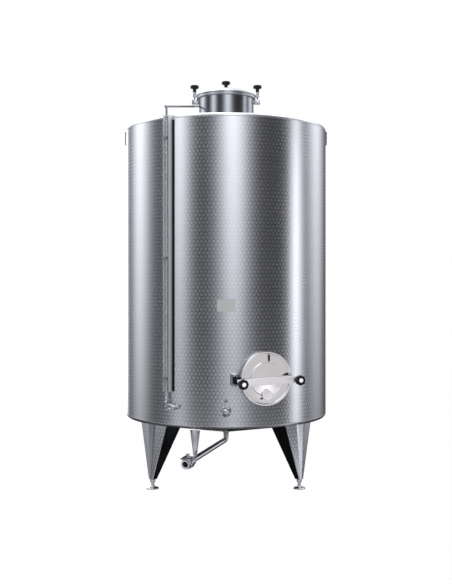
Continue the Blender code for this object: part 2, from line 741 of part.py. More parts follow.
def build_manway(manway):
    """The manway's fixed side: collar, hinge ears with their pin, and the catch for the right bolt."""
    inner = COLLAR_RADIUS - COLLAR_SHEET
    collar = turned("manway_collar", [(inner, COLLAR_FRONT_OUT), (COLLAR_RADIUS, COLLAR_FRONT_OUT),
                                      (COLLAR_RADIUS, COLLAR_INNER_OUT), (inner, COLLAR_INNER_OUT)],
                    DOOR_FACETS, closed=True)
    keep(collar, BRUSHED, manway, (0, 0, MANWAY_Z), OUTWARDS)

    hinge = rod("manway_hinge", (HINGE_SIDE, -HINGE_OUT, HINGE_LOW_Z),
                (HINGE_SIDE, -HINGE_OUT, HINGE_HIGH_Z), HINGE_PIN_RADIUS, 16)
    for row, z in enumerate((HINGE_LOW_Z, HINGE_HIGH_Z - HINGE_EAR_HEIGHT)):
        ear = box(f"hinge_ear_{row}", (HINGE_SIDE - HINGE_EAR_HALF, -HINGE_OUT - HINGE_EAR_HALF, z),
                  (HINGE_SIDE + HINGE_EAR_HALF, -HINGE_EAR_BACK, z + HINGE_EAR_HEIGHT))
        as_cutter(ear, manway)
        boolean(hinge, ear, "UNION")
    web = box("hinge_web", (HINGE_SIDE - HINGE_EAR_HALF, -HINGE_WEB_FRONT, HINGE_LOW_Z),
              (HINGE_SIDE + HINGE_WEB_REACH, -HINGE_WEB_BACK, HINGE_HIGH_Z))
    as_cutter(web, manway)
    boolean(hinge, web, "UNION")
    for tool in (collar_clear("hinge_collar_clear", manway), wall_clear("hinge_wall_clear", manway, MANWAY_Z)):
        boolean(hinge, tool, "DIFFERENCE")
    keep(hinge, BRUSHED, manway)

    catch_z = BAR_MIDDLE_Z + CLAMP_SIDE * math.sin(BAR_TILT)
    catch = box("manway_catch", (CLAMP_SIDE - CATCH_INNER_REACH, -CATCH_FRONT, catch_z - CATCH_HALF_HEIGHT),
                (CLAMP_SIDE + CATCH_OUTER_REACH, -CATCH_BACK, catch_z + CATCH_HALF_HEIGHT))
    slot = box("catch_slot", (CLAMP_SIDE - CATCH_SLOT_HALF, -CATCH_FRONT - CUT_PAST,
                              catch_z - CATCH_SLOT_HALF),
               (CLAMP_SIDE + CATCH_OUTER_REACH + CUT_PAST, -CATCH_OUT + CATCH_SLOT_FLOOR,
                catch_z + CATCH_SLOT_HALF))
    as_cutter(slot, manway)
    boolean(catch, slot, "DIFFERENCE")
    for tool in (collar_clear("catch_collar_clear", manway), wall_clear("catch_wall_clear", manway, MANWAY_Z)):
        boolean(catch, tool, "DIFFERENCE")
    keep(catch, BRUSHED, manway)


def collar_clear(name, manway):
    """A cutter that leaves a piece seated against the collar's outside."""
    tool = rod(name, (0, -CUTTER_FAR, MANWAY_Z), (0, -CUTTER_NEAR, MANWAY_Z), COLLAR_RADIUS + GAP,
               DOOR_FACETS)
    return as_cutter(tool, manway)


def wall_clear(name, frame, middle_z):
    """A cutter that leaves a piece seated on the tank's wall about a height."""
    tool = rod(name, (0, 0, middle_z - WALL_CUTTER_REACH), (0, 0, middle_z + WALL_CUTTER_REACH),
               TANK_RADIUS + WALL_SEAT, WALL_CUTTER_FACETS)
    return as_cutter(tool, frame)


def build_door(manway):
    """The manway door on its hinge, with gasket, clamp bar, two clamp knobs and port cap."""
    hinge_axis = bpy.data.objects.new("manway_door_axis", None)
    tank_parts.objects.link(hinge_axis)
    hinge_axis.parent = manway
    hinge_axis.location = (HINGE_SIDE, -HINGE_OUT, MANWAY_Z)
    to_centre = (-HINGE_SIDE, HINGE_OUT, 0.0)

    back = COLLAR_FRONT_OUT + GASKET_THICK + 2 * GAP
    front = DOOR_FRONT_OUT
    rim = DOOR_RADIUS
    boss_front = BAR_FRONT_OUT - BAR_SHEET - GAP
    rim_inner = rim - DOOR_RIM_WIDTH
    edge = DOOR_EDGE
    profile = [(0, boss_front), (DOOR_BOSS_RADIUS, boss_front), (DOOR_BOSS_RADIUS, front + DOOR_CROWN),
               (DOOR_DISH_RADIUS - edge, front - DOOR_DISH_DROP),
               (DOOR_DISH_RADIUS, front - 2 * edge),
               (rim_inner - DOOR_SHEET, front - DOOR_FACE_DROP), (rim_inner, front), (rim - edge, front),
               (rim, front - edge), (rim, back), (rim_inner - DOOR_SHEET, back),
               (DOOR_DISH_RADIUS, back + DOOR_SHEET), (0, back + DOOR_BACK_CROWN)]
    door = turned("manway_door", profile, DOOR_FACETS)
    barrel_low = HINGE_LOW_Z + HINGE_EAR_HEIGHT + RUNNING - MANWAY_Z
    barrel_high = HINGE_HIGH_Z - HINGE_EAR_HEIGHT - RUNNING - MANWAY_Z
    arm = box("door_hinge_arm", (HINGE_ARM_INSET, -HINGE_ARM_THICK / 2, barrel_low + HINGE_ARM_INSET),
              (HINGE_ARM_REACH, HINGE_ARM_THICK / 2, barrel_high - HINGE_ARM_INSET))
    barrel = rod("door_hinge_barrel", (0, 0, barrel_low), (0, 0, barrel_high), HINGE_BARREL_RADIUS, 24)
    bore = rod("door_hinge_bore", (0, 0, barrel_low - CUT_PAST), (0, 0, barrel_high + CUT_PAST),
               HINGE_PIN_RADIUS + RUNNING)
    for tool, operation in ((arm, "UNION"), (barrel, "UNION"), (bore, "DIFFERENCE")):
        as_cutter(tool, hinge_axis)
        boolean(door, tool, operation)
    keep(door, POLISHED, hinge_axis, to_centre, OUTWARDS)

    gasket_back = COLLAR_FRONT_OUT + GAP
    gasket_front = gasket_back + GASKET_THICK
    gasket = turned("door_gasket", [(GASKET_INNER, gasket_front), (GASKET_OUTER, gasket_front),
                                    (GASKET_OUTER, gasket_back), (GASKET_INNER, gasket_back)],
                    DOOR_FACETS, closed=True)
    keep(gasket, GASKET_RUBBER, hinge_axis, to_centre, OUTWARDS)

    port_back = front - DOOR_FACE_DROP - OVERLAP
    port = turned("door_port", [(0, PORT_OUT), (PORT_RADIUS - PORT_EDGE, PORT_OUT),
                                (PORT_RADIUS, PORT_OUT - PORT_EDGE), (PORT_RADIUS, port_back),
                                (0, port_back)], 24)
    face = turned("door_face_clear", [(r, z + GAP) for r, z in profile], DOOR_FACETS)
    as_cutter(face, hinge_axis, to_centre, OUTWARDS)
    boolean(port, face, "DIFFERENCE")
    keep(port, POLISHED, hinge_axis, (to_centre[0], to_centre[1], PORT_Z - MANWAY_Z), OUTWARDS)

    build_clamp(hinge_axis)


def build_clamp(hinge_axis):
    """The clamp bar and its two knobs, tilted a little about the door's middle."""
    clamp = bpy.data.objects.new("clamp_frame", None)
    tank_parts.objects.link(clamp)
    clamp.parent = hinge_axis
    clamp.location = (-HINGE_SIDE, HINGE_OUT, BAR_MIDDLE_Z - MANWAY_Z)
    clamp.rotation_euler = (0.0, -BAR_TILT, 0.0)

    half = BAR_HEIGHT / 2
    back = BAR_FRONT_OUT - BAR_DEPTH
    web = BAR_FRONT_OUT - BAR_SHEET
    bar = outline("clamp_bar", [(-BAR_FRONT_OUT, half), (-BAR_FRONT_OUT, -half), (-back, -half),
                                (-back, -half + BAR_SHEET), (-web, -half + BAR_SHEET),
                                (-web, half - BAR_SHEET), (-back, half - BAR_SHEET), (-back, half)],
                  2 * BAR_HALF_LENGTH)
    bar.data.transform(SECTION_ALONG_X)
    keep(bar, POLISHED, clamp)

    for side_name, side in (("left", -1), ("right", 1)):
        name = f"clamp_knob_{side_name}"
        low = BAR_FRONT_OUT + GAP
        knob = turned(name, knob_profile(CLAMP_KNOB_OUT, low, CLAMP_KNOB_RADIUS, CLAMP_KNOB_THICK,
                                         CLAMP_HUB_RADIUS, CLAMP_KNOB_EDGE), 18)
        bolt_back = CATCH_OUT if side > 0 else back
        shank = rod(name + "_shank", (0, 0, bolt_back), (0, 0, low + CUT_PAST), CLAMP_BOLT_RADIUS, 16)
        as_cutter(shank, clamp, (side * CLAMP_SIDE, 0, 0), OUTWARDS)
        boolean(knob, shank, "UNION")
        keep(knob, BLACK_PLASTIC, clamp, (side * CLAMP_SIDE, 0, 0), OUTWARDS)
        hole = rod(f"bar_hole_{side_name}", (0, 0, back), (0, 0, BAR_FRONT_OUT + CUT_PAST),
                   CLAMP_BOLT_RADIUS + GAP, 16)
        as_cutter(hole, clamp, (side * CLAMP_SIDE, 0, 0), OUTWARDS)
        boolean(bar, hole, "DIFFERENCE")


def build_front_fittings(axis):
    """The sample valve with its handle, and the bare name plate."""
    out = TANK_RADIUS + GAP
    flange_front = out + SAMPLE_FLANGE_THICK
    valve = turned("sample_valve", [(0, SAMPLE_FRONT_OUT),
                                    (SAMPLE_BODY_RADIUS - SAMPLE_NOSE, SAMPLE_FRONT_OUT),
                                    (SAMPLE_BODY_RADIUS, SAMPLE_FRONT_OUT - SAMPLE_NOSE),
                                    (SAMPLE_BODY_RADIUS, flange_front + HUB_EDGE),
                                    (SAMPLE_FLANGE_RADIUS - HUB_EDGE, flange_front),
                                    (SAMPLE_FLANGE_RADIUS, flange_front - HUB_EDGE),
                                    (SAMPLE_FLANGE_RADIUS, out - CUT_PAST), (0, out - CUT_PAST)], 24)
    spout = rod("sample_spout", (*SPOUT_START, out + SPOUT_START_OUT), (*SPOUT_END, out + SPOUT_END_OUT),
                SPOUT_RADIUS, 16)
    stem_out = out + SAMPLE_STEM_OUT
    stem = rod("sample_stem", (0, 0, stem_out), (0, SAMPLE_STEM_HEIGHT, stem_out), SAMPLE_STEM_RADIUS, 16)
    for tool in (spout, stem):
        as_cutter(tool, axis, (0, 0, SAMPLE_Z), OUTWARDS)
        boolean(valve, tool, "UNION")
    boolean(valve, wall_clear("sample_wall_face", axis, SAMPLE_Z), "DIFFERENCE")
    keep(valve, POLISHED, axis, (0, 0, SAMPLE_Z), OUTWARDS)

    handle_at = (0, -stem_out, SAMPLE_Z)
    handle_low = SAMPLE_STEM_HEIGHT + RUNNING
    handle = turned("sample_handle", hub_profile(SAMPLE_HANDLE_HUB_RADIUS, handle_low,
                                                 SAMPLE_HANDLE_HUB_HEIGHT), 20)
    grip = rod("sample_grip", (0, 0, handle_low + SAMPLE_HANDLE_HUB_HEIGHT / 2),
               (0, 0, SAMPLE_HANDLE_TOP), SAMPLE_GRIP_RADIUS, 12)
    paddle = box("sample_paddle",
                 (-SAMPLE_PADDLE_HALF_WIDTH, -SAMPLE_PADDLE_THICK / 2, SAMPLE_PADDLE_LOW),
                 (SAMPLE_PADDLE_HALF_WIDTH, SAMPLE_PADDLE_THICK / 2, SAMPLE_HANDLE_TOP - OVERLAP))
    for tool in (grip, paddle):
        as_cutter(tool, axis, handle_at)
        boolean(handle, tool, "UNION")
    keep(handle, BRUSHED, axis, handle_at)

    radius = TANK_RADIUS + WALL_SEAT
    spread = PLATE_WIDTH / radius
    plate = turned("name_plate", [(radius, PLATE_HEIGHT / 2), (radius, -PLATE_HEIGHT / 2)], 4,
                   angle=spread, start=-math.pi / 2 - spread / 2)
    solid = plate.modifiers.new("sheet", "SOLIDIFY")
    solid.thickness = PLATE_THICK
    solid.offset = 1.0
    keep(plate, PLATE_GREY, axis, (0, 0, PLATE_Z))


def build_outlet(axis):
    """The outlet: a bent pipe from the cone's apex, a hanger, and a ball valve with its lever."""
    outlet = azimuth_frame("outlet_frame", OUTLET_AZIMUTH)
    direction = Vector((0, -math.cos(OUTLET_PITCH), -math.sin(OUTLET_PITCH)))
    start = Vector((0, 0, PIPE_START_Z))
    top = Vector((0, 0, bottom_height(PIPE_RADIUS) + PIPE_STUB))
    path = bend_path([top, start, start + direction * PIPE_END], PIPE_BEND, 6)
    pipe = hollow_pipe("outlet_pipe", path, outlet)
    keep(pipe, BRUSHED, outlet)

    valve_frame = bpy.data.objects.new("valve_frame", None)
    tank_parts.objects.link(valve_frame)
    valve_frame.parent = outlet
    valve_frame.location = start
    valve_frame.rotation_euler = (math.radians(90.0) + OUTLET_PITCH, 0.0, 0.0)
    bore = PIPE_RADIUS - PIPE_WALL
    half_profile = [(bore, 0.0), (VALVE_MOUTH_RADIUS, 0.0), (VALVE_MOUTH_RADIUS, VALVE_MOUTH_LENGTH),
                    (VALVE_WAIST_RADIUS, VALVE_WAIST_END), (VALVE_RADIUS - VALVE_EDGE, VALVE_SHOULDER),
                    (VALVE_RADIUS, VALVE_BODY_START)]
    profile = [(r, VALVE_END - z) for r, z in half_profile]
    profile += [(r, VALVE_START + z) for r, z in reversed(half_profile)]
    valve = turned("outlet_valve", profile, 24, closed=True)
    stem = rod("valve_stem", (0, PIPE_RADIUS + CUT_PAST, VALVE_BALL), (0, LEVER_RISE - RUNNING, VALVE_BALL),
               VALVE_STEM_RADIUS)
    as_cutter(stem, valve_frame)
    boolean(valve, stem, "UNION")
    keep(valve, BRUSHED, valve_frame)

    lever = turned("outlet_lever", hub_profile(LEVER_HUB_RADIUS, 0.0, LEVER_HUB_HEIGHT), 20)
    grip = box("lever_grip", (-LEVER_HALF_WIDTH, -LEVER_LENGTH, LEVER_LOW),
               (LEVER_HALF_WIDTH, 0.0, LEVER_TOP))
    tip = rod("lever_tip", (0, -LEVER_LENGTH, LEVER_LOW), (0, -LEVER_LENGTH, LEVER_TOP),
              LEVER_HALF_WIDTH)
    lever_turn = (math.radians(-90.0), 0.0, 0.0)
    lever_at = (0, LEVER_RISE, VALVE_BALL)
    for tool in (grip, tip):
        as_cutter(tool, valve_frame, lever_at, lever_turn)
        boolean(lever, tool, "UNION")
    keep(lever, BRUSHED, valve_frame, lever_at, lever_turn)

    build_hanger(outlet, start, direction)


def hollow_pipe(name, path, parent):
    """A pipe along a path: the path's tube, cut by a thinner tube that runs past both ends."""
    outer = curve_to_mesh(tube(name, path, PIPE_RADIUS))
    first = path[0] + (path[0] - path[1]).normalized() * CUT_PAST
    last = path[-1] + (path[-1] - path[-2]).normalized() * CUT_PAST
    inner = curve_to_mesh(tube(name + "_bore", [first] + path[1:-1] + [last], PIPE_RADIUS - PIPE_WALL))
    as_cutter(inner, parent)
    return boolean(outer, inner, "DIFFERENCE")


def curve_to_mesh(obj):
    """Replace a curve object by a mesh object of the same shape, with its caps welded."""
    bpy.context.view_layer.update()
    graph = bpy.context.evaluated_depsgraph_get()
    mesh = bpy.data.meshes.new_from_object(obj.evaluated_get(graph))
    name = obj.name
    place = obj.matrix_world.copy()
    bpy.data.objects.remove(obj, do_unlink=True)
    shape = bmesh.new()
    shape.from_mesh(mesh)
    bmesh.ops.remove_doubles(shape, verts=shape.verts, dist=MERGE)
    bpy.data.meshes.remove(mesh)
    solid = bmesh_object(name, shape, round_shape=True)
    solid.matrix_world = place
    return solid


def build_hanger(outlet, start, direction):
    """A tapered strap that carries the pipe's far end from the bottom cone."""
    at = start + direction * HANGER_DISTANCE
    top = bottom_height(-at.y) - GAP
    low = at.z + PIPE_RADIUS
    half_top, half_low = HANGER_TOP_WIDTH / 2, HANGER_LOW_WIDTH / 2
    hanger = outline("pipe_hanger", [(-half_top, top - HANGER_EAR_DROP), (-half_low, low),
                                     (half_low, low), (half_top, top - HANGER_EAR_DROP)], HANGER_THICK)
    keep(hanger, BRUSHED, outlet, (0, at.y, 0), OUTWARDS)


def leg_section(out, middle, side, flank, z):
    """One level of a leg: flank, side facet, middle facet, side facet, flank."""
    side_x = middle + side * math.cos(LEG_FOLD)
    side_out = out - side * math.sin(LEG_FOLD)
    flank_x = side_x - flank * LEG_FLANK_LEAN
    right = [(middle, -out, z), (side_x, -side_out, z), (flank_x, -side_out + flank, z)]
    left = [(-x, y, z) for x, y, z in reversed(right)]
    return left + right


def build_legs(axis):
    """Four folded sheet legs, their tops cut to the bottom cone, each with an adjustable foot."""
    for place, degrees in LEG_AZIMUTHS.items():
        frame = azimuth_frame(f"leg_{place}_frame", math.radians(degrees))
        shape = bmesh.new()
        levels = (leg_section(LEG_LOW_OUT, LEG_LOW_MIDDLE, LEG_LOW_SIDE, LEG_LOW_FLANK, LEG_LOW_Z),
                  leg_section(LEG_TOP_OUT, LEG_TOP_MIDDLE, LEG_TOP_SIDE, LEG_TOP_FLANK, LEG_TOP_Z))
        rows = [[shape.verts.new(corner) for corner in level] for level in levels]
        for i in range(len(rows[0]) - 1):
            shape.faces.new((rows[0][i], rows[0][i + 1], rows[1][i + 1], rows[1][i]))
        leg = bmesh_object(f"leg_{place}", shape)
        solid = leg.modifiers.new("sheet", "SOLIDIFY")
        solid.thickness = LEG_SHEET
        solid.offset = -1.0
        solid.use_even_offset = True
        half = LEG_LOW_MIDDLE + LEG_LOW_SIDE
        sole = box(f"leg_sole_{place}", (-half + LEG_SOLE_INSET, -LEG_LOW_OUT + LEG_SOLE_BACK, LEG_LOW_Z),
                   (half - LEG_SOLE_INSET, -LEG_LOW_OUT + LEG_LOW_FLANK, LEG_LOW_Z + LEG_SOLE_THICK))
        as_cutter(sole, frame)
        boolean(leg, sole, "UNION")
        cone = turned(f"leg_cone_{place}", cone_clear_profile(), FACETS_ROUND)
        as_cutter(cone, axis)
        boolean(leg, cone, "DIFFERENCE")
        keep(leg, MARBLED, frame)

        foot = turned(f"foot_{place}", [(0, LEG_LOW_Z - GAP), (FOOT_NUT_RADIUS, LEG_LOW_Z - GAP),
                                        (FOOT_NUT_LOW_RADIUS, FOOT_NUT_LOW_Z),
                                        (FOOT_STEM_RADIUS, FOOT_NUT_LOW_Z), (FOOT_STEM_RADIUS, FOOT_BALL_Z),
                                        (FOOT_CUP_RADIUS, FOOT_CUP_Z),
                                        (FOOT_PAD_RADIUS - FOOT_PAD_EDGE, FOOT_PAD_THICK),
                                        (FOOT_PAD_RADIUS, FOOT_PAD_THICK - FOOT_PAD_EDGE),
                                        (FOOT_PAD_RADIUS, 0.0), (0, 0.0)], 18)
        keep(foot, BRUSHED, frame, (0, -FOOT_OUT, 0))


def cone_clear_profile():
    """The tank's underside with a seating gap, closed well above the legs."""
    centre = (TANK_RADIUS - KNUCKLE_RADIUS, BOTTOM_KNUCKLE_Z)
    knuckle = arc(centre, KNUCKLE_RADIUS + GAP, 0.0, BOTTOM_PITCH - math.pi / 2, KNUCKLE_STEPS)
    middle = [(0, bottom_height(0) - GAP / math.cos(BOTTOM_PITCH))]
    return [(0, CONE_CUTTER_TOP_Z), (TANK_RADIUS + GAP, CONE_CUTTER_TOP_Z)] + knuckle + middle


def main():
    """Build every piece."""
    start_scene()
    axis = azimuth_frame("tank_axis", 0.0)
    left = azimuth_frame("left_side", math.radians(-90.0))
    right = azimuth_frame("right_side", math.radians(90.0))
    gauge = azimuth_frame("gauge_frame", GAUGE_AZIMUTH)
    manway = azimuth_frame("manway_frame", MANWAY_AZIMUTH)
    build_wall(manway)
    build_ends(axis)
    build_neck(axis, left, right)
    build_swing_bolt("swing_bolt_left", left)
    build_swing_bolt("swing_bolt_right", right)
    build_lifting_lug("lifting_lug_left", left)
    build_lifting_lug("lifting_lug_right", right)
    build_gauge(gauge, axis)
    build_manway(manway)
    build_door(manway)
    build_front_fittings(axis)
    build_outlet(axis)
    build_legs(axis)


main()
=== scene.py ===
# %% [markdown]
# # A stainless steel storage tank, dressed
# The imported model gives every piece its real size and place. This lesson goes over it from the wall
# to the last screw: what each piece is on the real tank, how it can be made in Blender, and why the
# way used here was chosen. Lengths are metres, +Z is up, and the tank faces -Y.

# %% Load the fixed frame
import math

import bmesh
import bpy
from mathutils import Matrix, Vector


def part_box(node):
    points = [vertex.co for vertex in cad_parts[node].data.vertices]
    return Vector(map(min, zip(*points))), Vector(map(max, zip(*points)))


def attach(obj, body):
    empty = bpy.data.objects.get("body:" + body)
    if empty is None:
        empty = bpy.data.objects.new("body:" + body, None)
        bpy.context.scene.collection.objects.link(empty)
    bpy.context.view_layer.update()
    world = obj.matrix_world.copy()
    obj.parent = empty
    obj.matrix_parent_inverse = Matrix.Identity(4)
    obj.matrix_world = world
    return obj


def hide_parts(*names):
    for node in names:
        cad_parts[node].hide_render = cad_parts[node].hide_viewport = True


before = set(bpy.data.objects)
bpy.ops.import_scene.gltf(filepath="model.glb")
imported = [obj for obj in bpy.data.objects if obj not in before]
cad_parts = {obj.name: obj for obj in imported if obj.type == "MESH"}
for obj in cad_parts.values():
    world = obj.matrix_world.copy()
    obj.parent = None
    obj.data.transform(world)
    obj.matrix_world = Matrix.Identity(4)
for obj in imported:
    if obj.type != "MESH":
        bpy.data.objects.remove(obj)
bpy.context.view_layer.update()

# %% [markdown]
# ## Measures that everything else follows
# The frame already says how big the tank is, so its main sizes are read from the nodes. Only finer
# things that the plain solids do not show, such as weld beads, are given here as sizes of their own.

# %% Measures read from the frame
wall_names = [f"wall_segment_{i}" for i in range(1, 9)]
roof_low, roof_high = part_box("roof")
AXIS = Vector(((roof_low.x + roof_high.x) / 2, (roof_low.y + roof_high.y) / 2, 0.0))
TANK_RADIUS = (roof_high.x - roof_low.x) / 2
MILLIMETRE = 0.001
SHEET = 2.5 * MILLIMETRE
print("axis", AXIS, "radius", round(TANK_RADIUS, 4))

# %% [markdown]
# ## The camera
# The photograph is 452 by 584 pixels. Fitting the ellipses of the two rims gave a level camera
# 6.44 m in front of the tank's axis and 1.351 m up, with a focal length of 911 pixels. The horizon
# lies 10 pixels above the middle of the frame, which is what the small vertical shift makes.

# %% Place the camera
PHOTO_HEIGHT = 584
FOCAL_PIXELS = 911.0
HORIZON_ABOVE_MIDDLE = 10.0
CAMERA_DISTANCE = 6.44
CAMERA_HEIGHT = 1.351


def link_object(name, data):
    """A new object, put in the scene."""
    made = bpy.data.objects.new(name, data)
    bpy.context.scene.collection.objects.link(made)
    return made


camera_data = bpy.data.cameras.new("camera")
camera_data.sensor_width = 36.0
camera_data.lens = FOCAL_PIXELS / PHOTO_HEIGHT * camera_data.sensor_width
camera_data.shift_y = -HORIZON_ABOVE_MIDDLE / PHOTO_HEIGHT
camera = link_object("camera", camera_data)
camera.location = (AXIS.x, AXIS.y - CAMERA_DISTANCE, CAMERA_HEIGHT)
camera.rotation_euler = (math.radians(90.0), 0.0, 0.0)
bpy.context.scene.camera = camera
bpy.context.scene.view_settings.view_transform = "Standard"
print("lens", round(camera_data.lens, 2), "mm")

# %% [markdown]
# ## Helpers for materials
# A colour picked from a picture is an sRGB value, and shaders work in linear light, so one function
# turns a hex value into a linear colour. Another adds a node together with its settings and links,
# which keeps each material readable as a list of what feeds what.

# %% Colour and node helpers
def linear(hex_colour):
    """A hex sRGB colour as linear RGBA."""
    parts = [int(hex_colour[i:i + 2], 16) / 255 for i in (1, 3, 5)]
    return (*[c / 12.92 if c <= 0.04045 else ((c + 0.055) / 1.055) ** 2.4 for c in parts], 1.0)


def add_node(tree, kind, inputs=(), out=0, **settings):
    """Add a shader node with its settings, values and links, and return one of its outputs."""
    made = tree.nodes.new("ShaderNode" + kind)
    for name, value in settings.items():
        setattr(made, name, value)
    for name, value in dict(inputs).items():
        if isinstance(value, bpy.types.NodeSocket):
            tree.links.new(value, made.inputs[name])
        else:
            made.inputs[name].default_value = value
    return made.outputs[out] if made.outputs else None


def start_material(name):
    """A new material and its empty tree."""
    material = bpy.data.materials.new(name)
    material.use_nodes = True
    material.node_tree.nodes.clear()
    return material, material.node_tree


def finish_material(tree, height, strength, depth, look):
    """Bump a height into a surface with the given look, and send it to the output."""
    bump = add_node(tree, "Bump", {"Height": height, "Strength": strength, "Distance": depth})
    shader = add_node(tree, "BsdfPrincipled", {**look, "Normal": bump})
    add_node(tree, "OutputMaterial", {"Surface": shader})


# %% [markdown]
# ## Marbled stainless sheet
# The wall and legs are cold-rolled sheet, marbled by a machine that presses a turning abrasive pad
# on it in staggered rows about 24 mm apart, with spots 26 mm apart in each row. The pad dulls the
# middle of each spot and leaves the seams between spots sharper. The pattern could be painted, but
# then it would look alike in every light. So it is mostly a change of roughness: dull spots spread
# the light strips, and sharp seams mirror a strip fully or the dark beside it.

# %% Lay out the spots on the sheet
SPOTS_ROUND = 169
MARBLE_PITCH = math.tau * TANK_RADIUS / SPOTS_ROUND
MARBLE_ROW = 24 * MILLIMETRE
MARBLE_UV = "sheet"
SPOT_REACH = 0.62 * MARBLE_PITCH
marbled_stainless, tree = start_material("marbled_stainless_sheet")
uv = add_node(tree, "UVMap", uv_map=MARBLE_UV)
# Two slanting counts, whose whole parts number the spots of the staggered lattice
slants = []
for way in (1, -1):
    count = add_node(tree, "VectorMath", {0: uv, 1: (way / MARBLE_PITCH, 0.5 / MARBLE_ROW, 0)}, "Value",
                     operation="DOT_PRODUCT")
    slants.append(add_node(tree, "Math", {0: count}, operation="FRACT"))
place = add_node(tree, "CombineXYZ", {"X": slants[0], "Y": slants[1], "Z": 1.0})
# Their fractions give the place within a spot, from its middle
across, upward = [
    add_node(tree, "VectorMath", {0: place, 1: weights}, "Value", operation="DOT_PRODUCT")
    for weights in ((MARBLE_PITCH / 2, -MARBLE_PITCH / 2, 0), (MARBLE_ROW, MARBLE_ROW, -MARBLE_ROW))]
from_middle = add_node(tree, "CombineXYZ", {"X": across, "Y": upward})
distance = add_node(tree, "VectorMath", {0: from_middle}, "Value", operation="LENGTH")
rim = add_node(tree, "Math", {0: distance, 1: SPOT_REACH}, operation="DIVIDE")
print("marbling", round(MARBLE_PITCH / MILLIMETRE, 2), "mm by", MARBLE_ROW / MILLIMETRE, "mm")

# %% Wear the spots into the sheet
DISH_DEPTH = 0.012 * MILLIMETRE
SPOT_TONE, SEAM_TONE, SPOT_ROUGH, SEAM_ROUGH = "#D8D9DB", "#CBCCCF", 0.27, 0.175
MOTTLE, CLOUDINESS = 0.12, 0.04
seam = add_node(tree, "MapRange", {"Value": rim, "From Min": 0.35, "From Max": 1.15},
                interpolation_type="SMOOTHSTEP")
cloud = add_node(tree, "TexNoise", {"Vector": uv, "Scale": 3.0, "Detail": 2.0}, "Fac")
fine = add_node(tree, "TexNoise", {"Vector": uv, "Scale": 160.0, "Detail": 1.0}, "Fac")
lifted = add_node(tree, "Math", {0: fine, 1: MOTTLE, 2: -MOTTLE / 2}, operation="MULTIPLY_ADD")
uneven = add_node(tree, "Math", {0: seam, 1: lifted}, operation="ADD")
colour = add_node(tree, "Mix", {"Factor": uneven, 6: linear(SPOT_TONE), 7: linear(SEAM_TONE)}, 2,
                  data_type="RGBA")
dull = add_node(tree, "MapRange", {"Value": seam, "To Min": SPOT_ROUGH, "To Max": SEAM_ROUGH})
haze = add_node(tree, "Math", {0: cloud, 1: CLOUDINESS, 2: -CLOUDINESS / 2}, operation="MULTIPLY_ADD")
dull = add_node(tree, "Math", {0: dull, 1: haze}, operation="ADD")
# A dish in each spot leans the sheet a little towards the spot's middle
bowl = add_node(tree, "Math", {0: rim, 1: 2.0}, operation="POWER")
dish = add_node(tree, "Math", {0: bowl, 1: DISH_DEPTH}, operation="MULTIPLY")
# Pad-marbled sheet: a fine net of seams, brighter than the spots in a strip and darker beside it
finish_material(tree, dish, 1.0, 1.0, {"Base Color": colour, "Metallic": 1.0, "Roughness": dull})
print("roughness", SPOT_ROUGH, "in the spots,", SEAM_ROUGH, "on the seams")

# %% [markdown]
# ## Plain stainless finishes
# Smaller parts are the same steel with other finishes: brushed with a belt, which leaves fine
# scratches one way; polished on neck and door; blasted or satin where it should not glare; cast and
# machined on valves. Dark steel on the legs' flanks, the lifting straps and the hinge leaf, and grey
# steel on the legs' insides, is painted shade. They differ in tone, in roughness and in the scratches
# that bump gives them. Most satin parts are less than fully metallic, which stands for their many
# tiny facets: some of every light reaches the eye from any side.

# %% Plain stainless finishes
def stainless(name, tone, roughness, scratch_scale, scratch_depth, spread=0.06, metallic=1.0):
    """Stainless steel with directional scratches on Object coordinates, their depth in millimetres."""
    material, tree = start_material(name)
    place = add_node(tree, "TexCoord", out="Object")
    stretched = add_node(tree, "Mapping", {"Vector": place, "Scale": scratch_scale})
    scratch = add_node(tree, "TexNoise", {"Vector": stretched, "Scale": 1.0, "Detail": 4.0,
                                                    "Roughness": 0.65}, "Fac")
    smudge = add_node(tree, "TexNoise", {"Vector": place, "Scale": 9.0, "Detail": 2.0}, "Fac")
    wear = add_node(tree, "Math", {0: scratch, 1: smudge}, operation="ADD")
    rough = add_node(tree, "MapRange", {"Value": wear, "From Min": 0.6, "From Max": 1.4,
                                                  "To Min": roughness - spread, "To Max": roughness + spread})
    finish_material(tree, scratch, 0.35, scratch_depth * MILLIMETRE,
                    {"Base Color": linear(tone), "Metallic": metallic, "Roughness": rough})
    return material


# Belt-brushed: a soft sheen with scratches along the part
brushed_stainless = stainless("brushed_stainless", "#C9CACC", 0.30, (60, 60, 900), 0.03)
channel_stainless = stainless("brushed_channel_face", "#A9ABAF", 0.34, (60, 60, 900), 0.02)
flank_stainless = stainless("brushed_channel_flank", "#C4C5C7", 0.45, (60, 60, 900), 0.02, 0.05, 0.45)
# Polished: near mirrors that show the light strips as bands
polished_stainless = stainless("polished_stainless", "#E4E4E6", 0.20, (30, 30, 240), 0.008, 0.04)
door_stainless = stainless("polished_door_stainless", "#E2DEE0", 0.11, (40, 40, 40), 0.006, 0.03)
neck_stainless = stainless("polished_neck_stainless", "#A6A9AD", 0.21, (30, 30, 240), 0.008, 0.04)
mirror_tube = stainless("polished_outlet_tube", "#D2D3D5", 0.13, (120, 120, 20), 0.004, 0.03)
# Blasted and satin: pale and even from every side
satin_stainless = stainless("bead_blasted_stainless", "#EDE9EA", 0.40, (90, 90, 90), 0.006, 0.05, 0.45)
lid_stainless = stainless("satin_lid_stainless", "#C6C8CC", 0.34, (90, 90, 90), 0.008, 0.05)
pipe_stainless = stainless("satin_vent_tube", "#9B9DA0", 0.42, (300, 300, 40), 0.02, 0.05, 0.8)
tube_stainless = stainless("drawn_stainless_tube", "#C2C3C5", 0.40, (300, 300, 40), 0.02)
